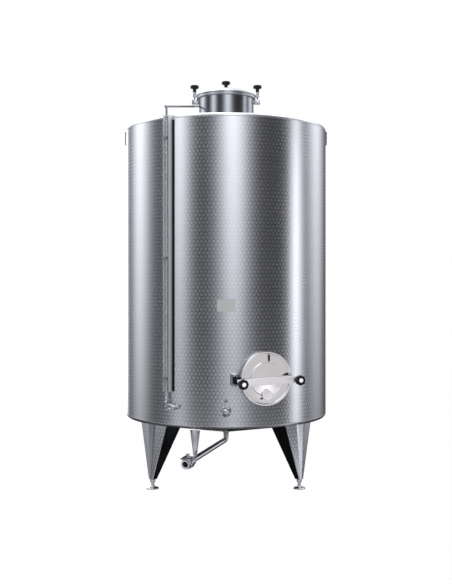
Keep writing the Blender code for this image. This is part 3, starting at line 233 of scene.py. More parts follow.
# Cast and machined: a fine grain that breaks up its highlights
cast_stainless = stainless("cast_stainless", "#C6C6C8", 0.26, (260, 260, 260), 0.04)
weld_stainless = stainless("stainless_weld_bead", "#C6C5C4", 0.36, (420, 420, 420), 0.12)
# Painted shade: dark steel on the leg flanks, straps and hinge leaf, and grey steel on the leg insides
painted_shade_inside = stainless("painted_shade_grey_inside", "#55585B", 0.50, (60, 60, 200), 0.01, 0.05, 0.6)
painted_shade_stainless = stainless("painted_shade_dark_steel", "#2B2C2F", 0.34, (60, 60, 200), 0.01)
# Bare aluminium, finely blasted: a flat pale grey
plate_aluminium = stainless("blasted_aluminium_plate", "#A9ABA9", 0.5, (900, 900, 900), 0.03, 0.05, 0.4)
print("metals", len(bpy.data.materials))

# %% [markdown]
# ## Plastics, rubber and the sight tube
# The knobs are phenolic plastic, compression moulded: nearly black, with a soft gloss and a faint
# mottle. The scale strip is anodised and matte, the gasket is food rubber, and the sight tube is
# clear acrylic, which a little of its own grey keeps visible in front of the steel.

# %% Plastics, rubber and acrylic
def moulded(name, tone, roughness, mottle_scale, depth, coat=0.0, gloss=0.5, spread=0.06):
    """A moulded plastic or rubber with a faint mottle, its depth in millimetres."""
    material, tree = start_material(name)
    place = add_node(tree, "TexCoord", out="Object")
    mottle = add_node(tree, "TexNoise", {"Vector": place, "Scale": mottle_scale, "Detail": 3.0}, "Fac")
    rough = add_node(tree, "MapRange", {"Value": mottle, "From Min": 0.3, "From Max": 0.7,
                                                  "To Min": roughness - spread, "To Max": roughness + spread})
    finish_material(tree, mottle, 0.3, depth * MILLIMETRE,
                    {"Base Color": linear(tone), "Roughness": rough, "Coat Weight": coat,
                     "Coat Roughness": 0.12, "Specular IOR Level": gloss})
    return material


# Phenolic plastic and anodised strip drink the light, and the same black is painted shade in the valve bores;
# rubber is a softer grey; the caps are pale
black_phenolic_and_shade = moulded("black_phenolic_and_shade", "#0D0E11", 0.50, 300.0, 0.05, gloss=0.3)
dark_anodised = moulded("dark_anodised_scale", "#0B0C10", 0.62, 500.0, 0.02, gloss=0.25)
food_rubber = moulded("food_rubber", "#3A3A3C", 0.62, 350.0, 0.08)
pale_cap = moulded("pale_cap", "#E4E5E6", 0.38, 300.0, 0.03, 0.2)

# Clear acrylic tube: a pale, glassy column with a sharp highlight
clear_acrylic, tree = start_material("clear_acrylic_tube")
acrylic = add_node(tree, "BsdfPrincipled", {"Base Color": linear("#D5DADC"), "Roughness": 0.08,
                                                      "IOR": 1.49, "Transmission Weight": 0.75})
add_node(tree, "OutputMaterial", {"Surface": acrylic})
print("materials", len(bpy.data.materials))

# %% [markdown]
# ## Helpers for shapes
# Nearly every piece here is either turned on a lathe, bent from sheet, or bent from bar. A lathe is
# `bmesh.ops.spin` about Z, and a bent bar is a curve with a round bevel. Each piece is modelled as if
# it sat at the very front of the tank, then turned about the axis by its azimuth, so one matrix
# places it. Its place goes into its mesh, which leaves every object at the origin as the frame's are.

# %% Place a shape and make it a piece
STEEL_SMOOTH = 32.0


def station(azimuth=0.0, side=0.0, out=0.0, z=0.0, outwards=False):
    """The matrix of a place round the tank; with outwards, local Z points away from the axis."""
    place = Matrix.Translation(AXIS) @ Matrix.Rotation(math.radians(azimuth), 4, "Z")
    place = place @ Matrix.Translation((side, -out, z))
    return place @ Matrix.Rotation(math.radians(90.0), 4, "X") if outwards else place


def new_piece(name, shape, material, stands_for=(), place=None, body="tank",
              angle=STEEL_SMOOTH):
    """Turn a bmesh into a finished piece of the tank."""
    if place is not None:
        bmesh.ops.transform(shape, matrix=place, verts=shape.verts)
    mesh = bpy.data.meshes.new(name)
    shape.to_mesh(mesh)
    shape.free()
    mesh.shade_smooth()
    mesh.set_sharp_from_angle(angle=math.radians(angle))
    mesh.materials.append(material)
    piece = link_object(name, mesh)
    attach(piece, body)
    if stands_for:
        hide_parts(*stands_for)
    print(name, len(mesh.polygons), "faces")
    return piece


def moved(shape, location=(0, 0, 0), turn=(0, 0, 0)):
    """Turn a bmesh by degrees about X, Y, Z, then move it."""
    for axis, degrees in zip("XYZ", turn):
        bmesh.ops.rotate(shape, cent=(0, 0, 0), matrix=Matrix.Rotation(math.radians(degrees), 3, axis),
                         verts=shape.verts)
    bmesh.ops.translate(shape, vec=location, verts=shape.verts)
    return shape


def joined(*shapes):
    """Put several bmeshes, already in place, into one."""
    whole = bmesh.new()
    for shape in shapes:
        passing = bpy.data.meshes.new("passing")
        shape.to_mesh(passing)
        shape.free()
        whole.from_mesh(passing)
        bpy.data.meshes.remove(passing)
    return whole


def baked(*holders):
    """The finished mesh of the first object as a bmesh; all the objects are then removed."""
    bpy.context.view_layer.update()
    finished = holders[0].evaluated_get(bpy.context.evaluated_depsgraph_get())
    shape = bmesh.new()
    shape.from_mesh(bpy.data.meshes.new_from_object(finished))
    for holder in holders:
        bpy.data.objects.remove(holder, do_unlink=True)
    return shape


# %% Turn sections on a lathe
THREAD_DEPTH = 0.5 * MILLIMETRE


def bend(first, corner, last, steps):
    """Points of a smooth bend between two places, drawn towards a corner."""
    return [(1 - t) ** 2 * first + 2 * t * (1 - t) * corner + t ** 2 * last
            for t in (k / steps for k in range(steps + 1))]


def rounded(points, edge, steps=4, closed=False):
    """A section with its inner corners rounded, each corner (x, y) or (x, y, own radius)."""
    made = []
    for i, (x, y, *own) in enumerate(points):
        here = Vector((x, y))
        radius = own[0] if own else edge
        if radius <= 0 or (not closed and i in (0, len(points) - 1)):
            made.append(here)
            continue
        ways = [Vector(near[:2]) - here for near in (points[i - 1], points[(i + 1) % len(points)])]
        first, last = [here + way.normalized() * min(radius, way.length * 0.49) for way in ways]
        made += bend(first, here, last, steps)
    return made


def lathe(profile, steps=64, closed=False):
    """Spin a section of (radius, height) points about Z."""
    shape = bmesh.new()
    corners = [shape.verts.new((radius, 0.0, height)) for radius, height in profile]
    pairs = list(zip(corners, corners[1:])) + ([(corners[-1], corners[0])] if closed else [])
    edges = [shape.edges.new(pair) for pair in pairs]
    bmesh.ops.spin(shape, geom=corners + edges, cent=(0, 0, 0), axis=(0, 0, 1), angle=math.tau,
                   steps=steps, use_merge=True)
    bmesh.ops.remove_doubles(shape, verts=shape.verts, dist=0.01 * MILLIMETRE)
    bmesh.ops.dissolve_degenerate(shape, edges=shape.edges, dist=0.005 * MILLIMETRE)
    bmesh.ops.recalc_face_normals(shape, faces=shape.faces)
    return shape


def turned(points, edge, steps=40, closed=False):
    """A turned shape with its corners rounded."""
    return lathe(rounded(points, edge, closed=closed), steps, closed)


def rod(radius, low, high, edge, steps=40):
    """A turned pin with rounded edges."""
    return turned([(0.0, high), (radius, high), (radius, low), (0.0, low)], edge, steps)


def collar(inner, outer, low, high, edge, steps=40):
    """A turned ring with rounded edges."""
    return turned([(inner, high), (outer, high), (outer, low), (inner, low)], edge, steps, True)


def threaded(radius, low, pitch, count, steps):
    """A threaded rod, whose section runs in and out."""
    ridges = [(radius - THREAD_DEPTH * (i % 2), low + i * pitch) for i in range(count)]
    return lathe([(0.0, ridges[-1][1])] + ridges[::-1] + [(0.0, low)], steps)


def bead(radius, z, width, proud, steps=192):
    """A flattened weld bead right round."""
    turns = [math.tau * i / 10 for i in range(10)]
    section = [(radius + proud * math.cos(a), z + width / 2 * math.sin(a)) for a in turns]
    return lathe(section, steps, closed=True)


# %% Mill blocks, bend bars and copy folded sheet
def break_edges(shape, width, segments=2, sharper_than=30.0, clamp=False):
    """Round the edges of a shape that are sharper than an angle in degrees."""
    sharp = [e for e in shape.edges if e.calc_face_angle(0.0) > math.radians(sharper_than)]
    bmesh.ops.bevel(shape, geom=sharp, offset=width, offset_type="OFFSET", segments=segments,
                    profile=0.5, affect="EDGES", material=-1, clamp_overlap=clamp)
    return shape


def block(low, high, edge=0.8 * MILLIMETRE, segments=2):
    """A machined block between two corners with broken edges."""
    shape = bmesh.new()
    bmesh.ops.create_cube(shape, size=1.0)
    bmesh.ops.scale(shape, vec=[b - a for a, b in zip(low, high)], verts=shape.verts)
    bmesh.ops.translate(shape, vec=[(a + b) / 2 for a, b in zip(low, high)], verts=shape.verts)
    return break_edges(shape, edge, segments)


def extruded(section, length, edge):
    """A closed section drawn in XY, extruded along Z about its middle."""
    shape = bmesh.new()
    face = shape.faces.new([shape.verts.new((x, y, -length / 2)) for x, y in section])
    risen = bmesh.ops.extrude_face_region(shape, geom=[face])["geom"]
    far = [v for v in risen if isinstance(v, bmesh.types.BMVert)]
    bmesh.ops.translate(shape, vec=(0, 0, length), verts=far)
    bmesh.ops.recalc_face_normals(shape, faces=shape.faces)
    return break_edges(shape, edge, sharper_than=40.0)


def from_curve(points, radius, closed=False, resolution=4):
    """A round bar along 3-D points, as a bmesh with closed ends."""
    curve = bpy.data.curves.new("bar", "CURVE")
    curve.dimensions = "3D"
    curve.bevel_depth = radius
    curve.bevel_resolution = resolution
    curve.use_fill_caps = not closed
    line = curve.splines.new("POLY")
    line.points.add(len(points) - 1)
    for point, position in zip(line.points, points):
        point.co = (*position, 1.0)
    line.use_cyclic_u = closed
    shape = baked(link_object("bar", curve))
    bmesh.ops.remove_doubles(shape, verts=shape.verts, dist=0.01 * MILLIMETRE)
    bmesh.ops.recalc_face_normals(shape, faces=shape.faces)
    return shape


def softened(node, edge, segments=2):
    """A copy of a node's solid with its triangles joined into faces and its sharp edges rounded."""
    shape = bmesh.new()
    shape.from_mesh(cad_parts[node].data)
    bmesh.ops.remove_doubles(shape, verts=shape.verts, dist=0.02 * MILLIMETRE)
    bmesh.ops.dissolve_limit(shape, angle_limit=math.radians(1.0), verts=shape.verts, edges=shape.edges)
    return break_edges(shape, edge, segments, clamp=True)


# %% [markdown]
# ## The wall
# The real wall is one cold-rolled sheet, rolled to a cylinder and welded along its back. The frame has
# it in eight segments because collision pieces have to be convex. Here one turned skin replaces all
# eight: 256 flat strips are fine enough that their edges don't show in a reflection. The manway's
# hole is cut by a Boolean whose result is kept, so the piece has no live modifier.

# %% Roll the wall and cut its manway hole
MANWAY_AZIMUTH, MANWAY_Z, COLLAR_RADIUS = 20.2, 0.7405, 0.1660
ROUND_STEPS = 256
FIT = 0.3 * MILLIMETRE
ROOF_KNUCKLE_Z, BOTTOM_KNUCKLE_Z = 2.402, 0.440


def facing_out(face):
    """How a face looks: 1 away from the tank's axis, -1 towards it, 0 along the wall."""
    middle = face.calc_center_median() - AXIS
    return face.normal.dot(Vector((middle.x, middle.y, 0.0)).normalized())


def sheet_uv(shape):
    """A UV map in metres along the sheet: round the tank or, on a flank, away from the axis."""
    layer = shape.loops.layers.uv.new(MARBLE_UV)
    for face in shape.faces:
        middle = face.calc_center_median() - AXIS
        middle_angle = math.atan2(middle.x, -middle.y)
        for loop in face.loops:
            spot = loop.vert.co - AXIS
            turn = math.atan2(spot.x, -spot.y) - middle_angle
            turn = (turn + math.pi) % math.tau - math.pi + middle_angle
            across = turn * TANK_RADIUS if abs(facing_out(face)) > 0.5 else spot.xy.length
            loop[layer].uv = (across, spot.z)


def cut(shape, tool):
    """Cut one bmesh out of another with an exact Boolean and keep the result."""
    holders = []
    for source in (shape, tool):
        mesh = bpy.data.meshes.new("cut")
        source.to_mesh(mesh)
        source.free()
        holders.append(link_object("cut", mesh))
    modifier = holders[0].modifiers.new("cut", "BOOLEAN")
    modifier.operation, modifier.solver, modifier.object = "DIFFERENCE", "EXACT", holders[1]
    return baked(*holders)


sheet_low, sheet_high = BOTTOM_KNUCKLE_Z + FIT, ROOF_KNUCKLE_Z - FIT
wall = lathe([(TANK_RADIUS, sheet_high), (TANK_RADIUS, sheet_low), (TANK_RADIUS - SHEET, sheet_low),
              (TANK_RADIUS - SHEET, sheet_high)], ROUND_STEPS, closed=True)
bmesh.ops.transform(wall, matrix=station(MANWAY_AZIMUTH), verts=wall.verts)
hole = bmesh.new()
bmesh.ops.create_cone(hole, cap_ends=True, segments=128, radius1=COLLAR_RADIUS + FIT,
                      radius2=COLLAR_RADIUS + FIT, depth=0.3)
bmesh.ops.transform(hole, matrix=station(MANWAY_AZIMUTH, out=TANK_RADIUS, z=MANWAY_Z, outwards=True),
                    verts=hole.verts)
wall = cut(wall, hole)
sheet_uv(wall)
new_piece("tank_wall", wall, marbled_stainless, wall_names)

# %% [markdown]
# ## Roof and bottom
# Both ends are shallow cones spun from sheet, with a rolled knuckle that butts against the wall. The
# roof's pitch and the height of its knuckle were measured in the photograph. Each end is turned here
# from one section, with twelve steps in the knuckle so that its highlight runs smoothly round the
# rim. The butt welds are ground but still show as a line, a bead less than a millimetre proud.

# %% Turn the two coned ends
KNUCKLE = 0.022
ROOF_PITCH, BOTTOM_PITCH = math.radians(9.8), math.radians(10.6)
NECK_RADIUS, PIPE_RADIUS = 0.1945, 0.019


def cone_height(radius, pitch, knuckle_z, way):
    """Height of a coned end's outer face at a radius; way is 1 for a roof, -1 for a bottom."""
    edge = TANK_RADIUS - KNUCKLE * (1 - math.sin(pitch))
    return knuckle_z + way * (KNUCKLE * math.cos(pitch) + (edge - radius) * math.tan(pitch))


def coned_end(pitch, knuckle_z, inner_radius, way):
    """A coned end, turned from its sheet's outer side followed by its inner side."""
    sides = []
    for roll, drop in ((KNUCKLE, 0.0), (KNUCKLE - SHEET, SHEET / math.cos(pitch))):
        side = [(TANK_RADIUS - KNUCKLE + roll, knuckle_z - way * FIT)]
        for turn in ((math.pi / 2 - pitch) * i / 12 for i in range(13)):
            side.append((TANK_RADIUS - KNUCKLE + roll * math.cos(turn),
                         knuckle_z + way * roll * math.sin(turn)))
        for radius in (0.5, 0.3, inner_radius):
            side.append((radius, cone_height(radius, pitch, knuckle_z, way) - way * drop))
        sides.append(side)
    return lathe(sides[0] + sides[1][::-1], ROUND_STEPS, closed=True)


new_piece("roof_skin", coned_end(ROOF_PITCH, ROOF_KNUCKLE_Z, NECK_RADIUS + FIT, 1), brushed_stainless,
          ["roof"], station())
new_piece("bottom_skin", coned_end(BOTTOM_PITCH, BOTTOM_KNUCKLE_Z, PIPE_RADIUS + FIT, -1), brushed_stainless,
          ["bottom_cone"], station())

# %% Lay the weld beads
BEAD_WIDTH, BEAD_PROUD, FILLET = 7 * MILLIMETRE, 0.7 * MILLIMETRE, 3 * MILLIMETRE
WELD_RADIUS = COLLAR_RADIUS + MILLIMETRE
roof_at_neck = cone_height(NECK_RADIUS, ROOF_PITCH, ROOF_KNUCKLE_Z, 1)
for name, radius, z, proud in (("top_weld", TANK_RADIUS, sheet_high, BEAD_PROUD),
                               ("bottom_weld", TANK_RADIUS, sheet_low, BEAD_PROUD),
                               ("neck_weld", NECK_RADIUS + 0.001, roof_at_neck + 0.001, FILLET)):
    new_piece(name, bead(radius, z, BEAD_WIDTH, proud), weld_stainless, place=station())
back_seam = from_curve([(0, 0, sheet_low), (0, 0, sheet_high)], BEAD_WIDTH / 2)
bmesh.ops.scale(back_seam, vec=(1.0, 2 * BEAD_PROUD / BEAD_WIDTH, 1.0), verts=back_seam.verts)
new_piece("back_seam_weld", back_seam, weld_stainless, place=station(180.0, out=TANK_RADIUS))
collar_weld = []
for i in range(96):
    across = WELD_RADIUS * math.cos(math.tau * i / 96)
    depth = math.sqrt(TANK_RADIUS ** 2 - across ** 2)
    collar_weld.append((across, -depth, MANWAY_Z + WELD_RADIUS * math.sin(math.tau * i / 96)))
new_piece("collar_weld", from_curve(collar_weld, FILLET, closed=True), weld_stainless,
          place=station(MANWAY_AZIMUTH))

# %% [markdown]
# ## Neck, flange and lid
# A short neck of polished sheet stands on the roof, closed by a pressed lid with a rolled rim. Two
# hinged bolts hold the lid: each swings between a pair of ears on the neck and drops into a fork on
# the lid. Turning gives the round pieces, and the ears and forks are small blocks with broken edges.

# %% Turn the neck and its flange
NECK_INNER, FLANGE_RADIUS = NECK_RADIUS - 0.003, 0.208
BOLT_OUT, PIVOT_Z = 0.222, 2.620
neck_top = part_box("neck")[1].z
flange_low, flange_high = (corner.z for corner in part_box("neck_flange"))


def beside_bolts(inner, outer, root, reach, low, high):
    """Four blocks, one at each side of each swing bolt."""
    made = []
    for azimuth in (-90.0, 90.0):
        for way in (-1, 1):
            left, right = sorted((way * inner, way * outer))
            made.append(moved(block((left, -reach, low), (right, -root, high)), turn=(0, 0, azimuth)))
    return joined(*made)


new_piece("neck_skin", collar(NECK_INNER, NECK_RADIUS, roof_at_neck - 0.003, neck_top, 0.0, 128),
          neck_stainless, ["neck"], station())
new_piece("bolt_ears", beside_bolts(0.007, 0.012, NECK_RADIUS - 0.001, 0.240, 2.606, 2.6375), lid_stainless,
          place=station())
new_piece("neck_flange_ring", collar(NECK_INNER, FLANGE_RADIUS, flange_low, flange_high, 0.0025, 128),
          tube_stainless, ["neck_flange"], station())

# %% Press the lid
LID_RADIUS, LID_RIM_Z, LID_RIM_THICK, LID_RISE, LID_SHEET = 0.210, 2.6575, 0.010, 0.051, 0.003
DOME_EDGE = LID_RADIUS - 0.014
rim_top = LID_RIM_Z + LID_RIM_THICK
dome = (DOME_EDGE ** 2 + LID_RISE ** 2) / (2 * LID_RISE)
dome_centre = rim_top + LID_RISE - dome
spread = math.asin(DOME_EDGE / dome)
outer = [(dome * math.sin(spread * i / 24), dome_centre + dome * math.cos(spread * i / 24))
         for i in range(25)]
inner = [(r * (dome - LID_SHEET) / dome, z - LID_SHEET) for r, z in reversed(outer)]
rim = rounded([(DOME_EDGE + 0.001, rim_top), (LID_RADIUS, rim_top), (LID_RADIUS, LID_RIM_Z),
               (DOME_EDGE, LID_RIM_Z)], 0.004)
new_piece("lid_skin", lathe(outer + rim + inner, 160), lid_stainless, ["lid"], station())
new_piece("lid_forks", beside_bolts(0.007, 0.017, LID_RADIUS - 0.004, 0.2335, LID_RIM_Z, LID_RIM_Z + 0.007),
          lid_stainless, place=station())
print("lid", round(rim_top + LID_RISE, 4), "m high at its middle")

# %% [markdown]
# ## Knobs
# The knobs are moulded phenolic handwheels with shallow lobes for the fingers. A turned knob is
# pulled inwards by a cosine between the lobes, only where it is wide, so the hub stays round.

# %% Mould the knobs
KNOB_RADIUS, KNOB_THICK, KNOB_HUB = 0.030, 0.022, 0.012
LOBES = 8


def handwheel(top, low, radius=KNOB_RADIUS, thick=KNOB_THICK, hub=KNOB_HUB, lobe_depth=0.0022):
    """A lobed knob on its hub, standing along Z."""
    shape = lathe(rounded([(0.0, top), (radius * 0.55, top), (radius, top - 0.001), (radius, top - thick),
                           (hub + 0.006, top - thick), (hub, top - thick - 0.006), (hub, low), (0.0, low)],
                          0.0055, 5), 96)
    for vert in shape.verts:
        reach = vert.co.xy.length
        if reach > radius * 0.6:
            turn = math.atan2(vert.co.y, vert.co.x)
            pull = lobe_depth * (1 - math.cos(LOBES * turn)) / 2 * (reach - radius * 0.6) / (radius * 0.4)
            vert.co.xy *= (reach - pull) / reach
    return shape


lid_knob_low, lid_knob_top = (corner.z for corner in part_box("lid_knob"))
new_piece("lid_handwheel", handwheel(lid_knob_top, lid_knob_low), black_phenolic_and_shade, ["lid_knob"], station())

# %% Hang the swing bolts
SWING_KNOB_Z, NUT_LOW, NUT_HIGH, BOLT_RADIUS = 2.718, 2.6667, 2.6907, 0.005
for side, azimuth in (("left", -90.0), ("right", 90.0)):
    bolt = f"swing_bolt_{side}"
    place = station(azimuth, out=BOLT_OUT)
    new_piece(f"{bolt}_handwheel", handwheel(SWING_KNOB_Z + KNOB_THICK, NUT_HIGH), black_phenolic_and_shade, [bolt],
              place, body=bolt)
    nut = collar(0.004, 0.0115, NUT_LOW, NUT_HIGH, 0.001, 48)
    shank = threaded(BOLT_RADIUS, PIVOT_Z + 0.006, 0.0006, 80, 32)
    eye = moved(rod(0.0095, -0.0063, 0.0063, 0.001), (0, 0, PIVOT_Z), (0, 90, 0))
    new_piece(f"{bolt}_shank", joined(nut, shank, eye), lid_stainless, place=place, body=bolt)
    heads = [moved(rod(0.006, 0.0125, 0.0145, 0.0008, 32), (0, 0, PIVOT_Z), (0, turn, 0))
             for turn in (90, -90)]
    new_piece(f"{bolt}_pin_heads", joined(*heads), cast_stainless, place=place)

# %% [markdown]
# ## Legs, feet and lifting straps
# Each leg is one sheet folded four times, its lower end closed by a small sole plate into which the
# foot's stem screws. The frame's solid already has the right folds and the cut that seats it on the
# cone, so a copy is taken, its triangles are joined back into faces, and its edges get the small
# radius that a press brake leaves. Only the outside is marbled, on a UV map in metres along the
# sheet: the flanks are painted dark and the insides painted grey, as shade. The lifting straps are
# copies too, painted dark as shade, drawn in towards the wall until they stand out as little as in the
# photograph.

# %% Bend the legs
for corner_name in ("front_left", "front_right", "back_left", "back_right"):
    leg = softened(f"leg_{corner_name}", 0.0008)
    sheet_uv(leg)
    for face in leg.faces:
        facing = facing_out(face)
        # Flanks take the painted dark shade and insides the painted grey shade; only the outside is marbled
        face.material_index = 0 if facing > 0.5 else 2 if facing < -0.2 else 1
    piece = new_piece(f"leg_{corner_name}_sheet", leg, marbled_stainless, [f"leg_{corner_name}"],
                      angle=20.0)
    piece.data.materials.append(painted_shade_stainless)
    piece.data.materials.append(painted_shade_inside)

# %% Turn the feet
FOOT_OUT = 0.6775
FEET = (("front_left", -45.0), ("front_right", 45.0), ("back_left", -133.0), ("back_right", 133.0))
foot_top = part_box("foot_front_left")[1].z
foot_section = rounded([(0.0, foot_top), (0.018, foot_top), (0.0165, 0.046), (0.012, 0.040), (0.010, 0.040),
                        (0.010, 0.021), (0.0155, 0.019), (0.017, 0.013), (0.036, 0.0088), (0.040, 0.0065),
                        (0.040, 0.0), (0.0, 0.0)], 0.0012, 3)
for corner_name, azimuth in FEET:
    new_piece(f"foot_{corner_name}_turned", lathe(foot_section), cast_stainless, [f"foot_{corner_name}"],
              station(azimuth, out=FOOT_OUT))

# %% Bend the lifting straps
DRAWN_IN = 0.4
for side in ("left", "right"):
    strap = softened(f"lifting_lug_{side}", 0.0009)
    for vert in strap.verts:
        proud = abs(vert.co.x - AXIS.x) - TANK_RADIUS
        if proud > 0:
            vert.co.x -= math.copysign(proud * DRAWN_IN, vert.co.x - AXIS.x)
    # The straps are painted dark as shade
    new_piece(f"lifting_lug_{side}_strap", strap, painted_shade_stainless, [f"lifting_lug_{side}"])

# %% [markdown]
# ## Level gauge
# A clear tube beside the wall shows how full the tank is. It stands in a bent steel channel that
# keeps it from being knocked, held by three dark clips. The dark scale strip is rolled onto the wall
# right beside the channel, whose flank is satin so that it doesn't mirror the strip and double it. A
# cock shuts the tube at the bottom, and at the top a small pipe vents it into the neck.

# %% Bend the channel and fit the clips
GAUGE_AZIMUTH = -31.3
SIGHT_SIDE, SIGHT_OUT, SIGHT_RADIUS = -0.0035, 0.726, 0.008
CLIP_HEIGHTS = (0.736, 1.505, 2.275)
SCREW = [(0.0, 0.0125), (0.0032, 0.0125), (0.0042, 0.0108), (0.0042, 0.0095), (0.0, 0.0095)]
channel = softened("gauge_channel", 0.0005)
gauge_turn = math.radians(GAUGE_AZIMUTH)
gauge_right = Vector((math.cos(gauge_turn), math.sin(gauge_turn), 0.0))
for face in channel.faces:
    face.material_index = 1 if face.normal.dot(gauge_right) > 0.7 else 0
piece = new_piece("gauge_channel_sheet", channel, channel_stainless, ["gauge_channel"])
piece.data.materials.append(flank_stainless)
sight_low, sight_high = (corner.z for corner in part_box("sight_tube"))
sight_place = station(GAUGE_AZIMUTH, SIGHT_SIDE, SIGHT_OUT)
new_piece("sight_tube_clear", collar(0.0055, SIGHT_RADIUS, sight_low, sight_high, 0.0006, 48), clear_acrylic,
          ["sight_tube"], sight_place)
for row, z in enumerate(CLIP_HEIGHTS, 1):
    clip = collar(SIGHT_RADIUS + 0.0002, SIGHT_RADIUS + 0.0024, z - 0.004, z + 0.004, 0.0007)
    screws = [moved(turned(SCREW, 0.0008, 24), (across, 0, z), (90, 0, 0)) for across in (-0.0115, 0.0155)]
    pad = block((0.0050, -0.0135, z - 0.0045), (0.0185, -0.0085, z + 0.0045), 0.001)
    new_piece(f"sight_clip_{row}", joined(clip, pad, *screws), black_phenolic_and_shade, place=sight_place)

# %% Roll the scale strip
SCALE_LEFT, SCALE_RIGHT, SCALE_THICK = 0.0235, 0.0390, 0.003


def rolled_plate(width, height, low_out, high_out, cells=24, side=0.0, z=0.0):
    """A thin plate bent round the wall, between two distances from the axis."""
    shape = bmesh.new()
    bmesh.ops.create_grid(shape, x_segments=cells, y_segments=2, size=0.5)
    bmesh.ops.scale(shape, vec=(width, height, 1.0), verts=shape.verts)
    grown = bmesh.ops.extrude_face_region(shape, geom=shape.faces[:])
    front = {v for v in grown["geom"] if isinstance(v, bmesh.types.BMVert)}
    for vert in shape.verts:
        out = high_out if vert in front else low_out
        turn = vert.co.x / low_out
        vert.co = (out * math.sin(turn), -out * math.cos(turn), vert.co.y)
    bmesh.ops.recalc_face_normals(shape, faces=shape.faces)
    return moved(shape, (0, 0, z), (0, 0, math.degrees(side / TANK_RADIUS)))


scale_low, scale_high = (corner.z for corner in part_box("scale_strip"))
strip_radius = TANK_RADIUS + FIT
strip_side = (SCALE_LEFT + SCALE_RIGHT) / 2 * TANK_RADIUS / strip_radius
strip = rolled_plate(SCALE_RIGHT - SCALE_LEFT, scale_high - scale_low, strip_radius,
                     strip_radius + SCALE_THICK, 3, strip_side)
new_piece("scale_strip_anodised", strip, dark_anodised, ["scale_strip"],
          station(GAUGE_AZIMUTH, z=(scale_low + scale_high) / 2))

# %% Turn the cock and its lever
COCK_Z, COCK_FRONT, COCK_SIDE, COCK_LINK_Z, COCK_DROOP = 0.555, 0.740, 0.058, 0.566, 14.0
cock = turned([(0.0, COCK_FRONT), (0.0125, COCK_FRONT), (0.015, COCK_FRONT - 0.003), (0.015, 0.734),
               (0.0115, 0.732), (0.0115, 0.712), (0.0150, 0.710), (0.0150, TANK_RADIUS - 0.002),
               (0.0, TANK_RADIUS - 0.002)], 0.0008, 48)
link = turned([(0.0, 0.0), (0.0085, 0.0), (0.0085, 0.018), (0.0105, 0.020), (0.0105, 0.050), (0.0, 0.050)],
              0.0012)
riser = turned([(0.0, 0.0235), (0.0085, 0.0235), (0.0112, 0.021), (0.0112, 0.010), (0.0095, 0.008),
                (0.0095, -0.010), (0.0, -0.010)], 0.0008)
link_place = (SIGHT_SIDE, -SIGHT_OUT, COCK_LINK_Z)
new_piece("gauge_cock_body", joined(moved(cock, (COCK_SIDE, 0, COCK_Z), (90, 0, 0)),
                                    moved(link, link_place, (0, 90, 0)), moved(riser, link_place)),
          cast_stainless, ["gauge_cock"], station(GAUGE_AZIMUTH))
hub = rod(0.012, 0.0, 0.016, 0.0025)
blade = extruded(rounded([(0.0, -0.005), (-0.056, -0.006), (-0.060, 0.0, 0.003), (-0.056, 0.006),
                          (0.0, 0.005)], 0.0015, closed=True), 0.006, 0.0012)
lever = moved(joined(hub, moved(blade, (0, 0, 0.009))), turn=(0, 0, COCK_DROOP))
new_piece("gauge_lever_forged", lever, polished_stainless, ["gauge_lever"],
          station(GAUGE_AZIMUTH, COCK_SIDE, COCK_FRONT + 0.0005, COCK_Z, outwards=True), body="gauge_lever")

# %% Bend the vent pipe
VENT_RADIUS, VENT_CORNER_Z, VENT_NECK_Z, VENT_BEND = 0.0072, 2.473, 2.592, 0.020
gauge_x = SIGHT_SIDE * math.cos(gauge_turn) + SIGHT_OUT * math.sin(gauge_turn)
gauge_y = SIGHT_SIDE * math.sin(gauge_turn) - SIGHT_OUT * math.cos(gauge_turn)
low_point = Vector((gauge_x, gauge_y, sight_high + FIT))
corner_point = Vector((gauge_x, gauge_y, VENT_CORNER_Z))
neck_turn = Vector((-NECK_RADIUS - 0.040, 0.0, VENT_NECK_Z))
way = neck_turn - corner_point
run = way.normalized()
risen = from_curve([low_point, corner_point + Vector((0, 0, VENT_RADIUS * 0.6))], VENT_RADIUS)
level_run = [corner_point - run * 0.026, *[corner_point + way * t for t in (0.1, 0.5, 0.9)],
             *bend(neck_turn - run * VENT_BEND, neck_turn, neck_turn + Vector((VENT_BEND, 0, 0)), 8),
             Vector((-NECK_RADIUS, 0.0, VENT_NECK_Z))]
new_piece("vent_pipe_bent", joined(risen, from_curve(level_run, VENT_RADIUS)), pipe_stainless, ["vent_pipe"],
          station())

# %% [markdown]
# ## Manway
# The manway is a short collar welded into the wall, with a dished door on a side hinge. A bar across
# the door ends in two knobs on long bolts, which press the door on its gasket. The door is pressed
# from polished sheet, so it mirrors the bar and the knobs; turning gives it its rolled rim, the
# raised ring and the shallow dish.

# %% Turn the collar and gasket
manway_place = station(MANWAY_AZIMUTH, z=MANWAY_Z, outwards=True)
new_piece("manway_collar_ring", collar(0.162, 0.166, 0.655, 0.722, 0.0012, 128), tube_stainless,
          ["manway_collar"], manway_place)
new_piece("door_gasket_ring", collar(0.160, 0.168, 0.7223, 0.7273, 0.0018, 128), food_rubber, ["door_gasket"],
          manway_place, body="manway_door")

# %% Press the door
DOOR_RIM, DOOR_FRONT, DOOR_BACK = 0.1725, 0.7420, 0.7276
door = turned([(0.0, 0.7612, 0.0), (0.005, 0.7612, 0.001), (0.005, 0.7458, 0.002), (0.1045, 0.7412, 0.003),
               (0.1070, 0.7388, 0.0012), (0.1085, 0.7388, 0.0008), (0.1095, 0.7405, 0.002),
               (0.1570, 0.7368, 0.002), (0.1600, DOOR_FRONT, 0.003), (DOOR_RIM, DOOR_FRONT, 0.004),
               (DOOR_RIM, DOOR_BACK, 0.002), (0.1570, DOOR_BACK, 0.002), (0.1075, 0.7306, 0.004),
               (0.0, 0.7356, 0.0)], 0.002, 160)
door_piece = new_piece("manway_door_pressed", door, door_stainless, ["manway_door"], manway_place,
                       body="manway_door", angle=24.0)

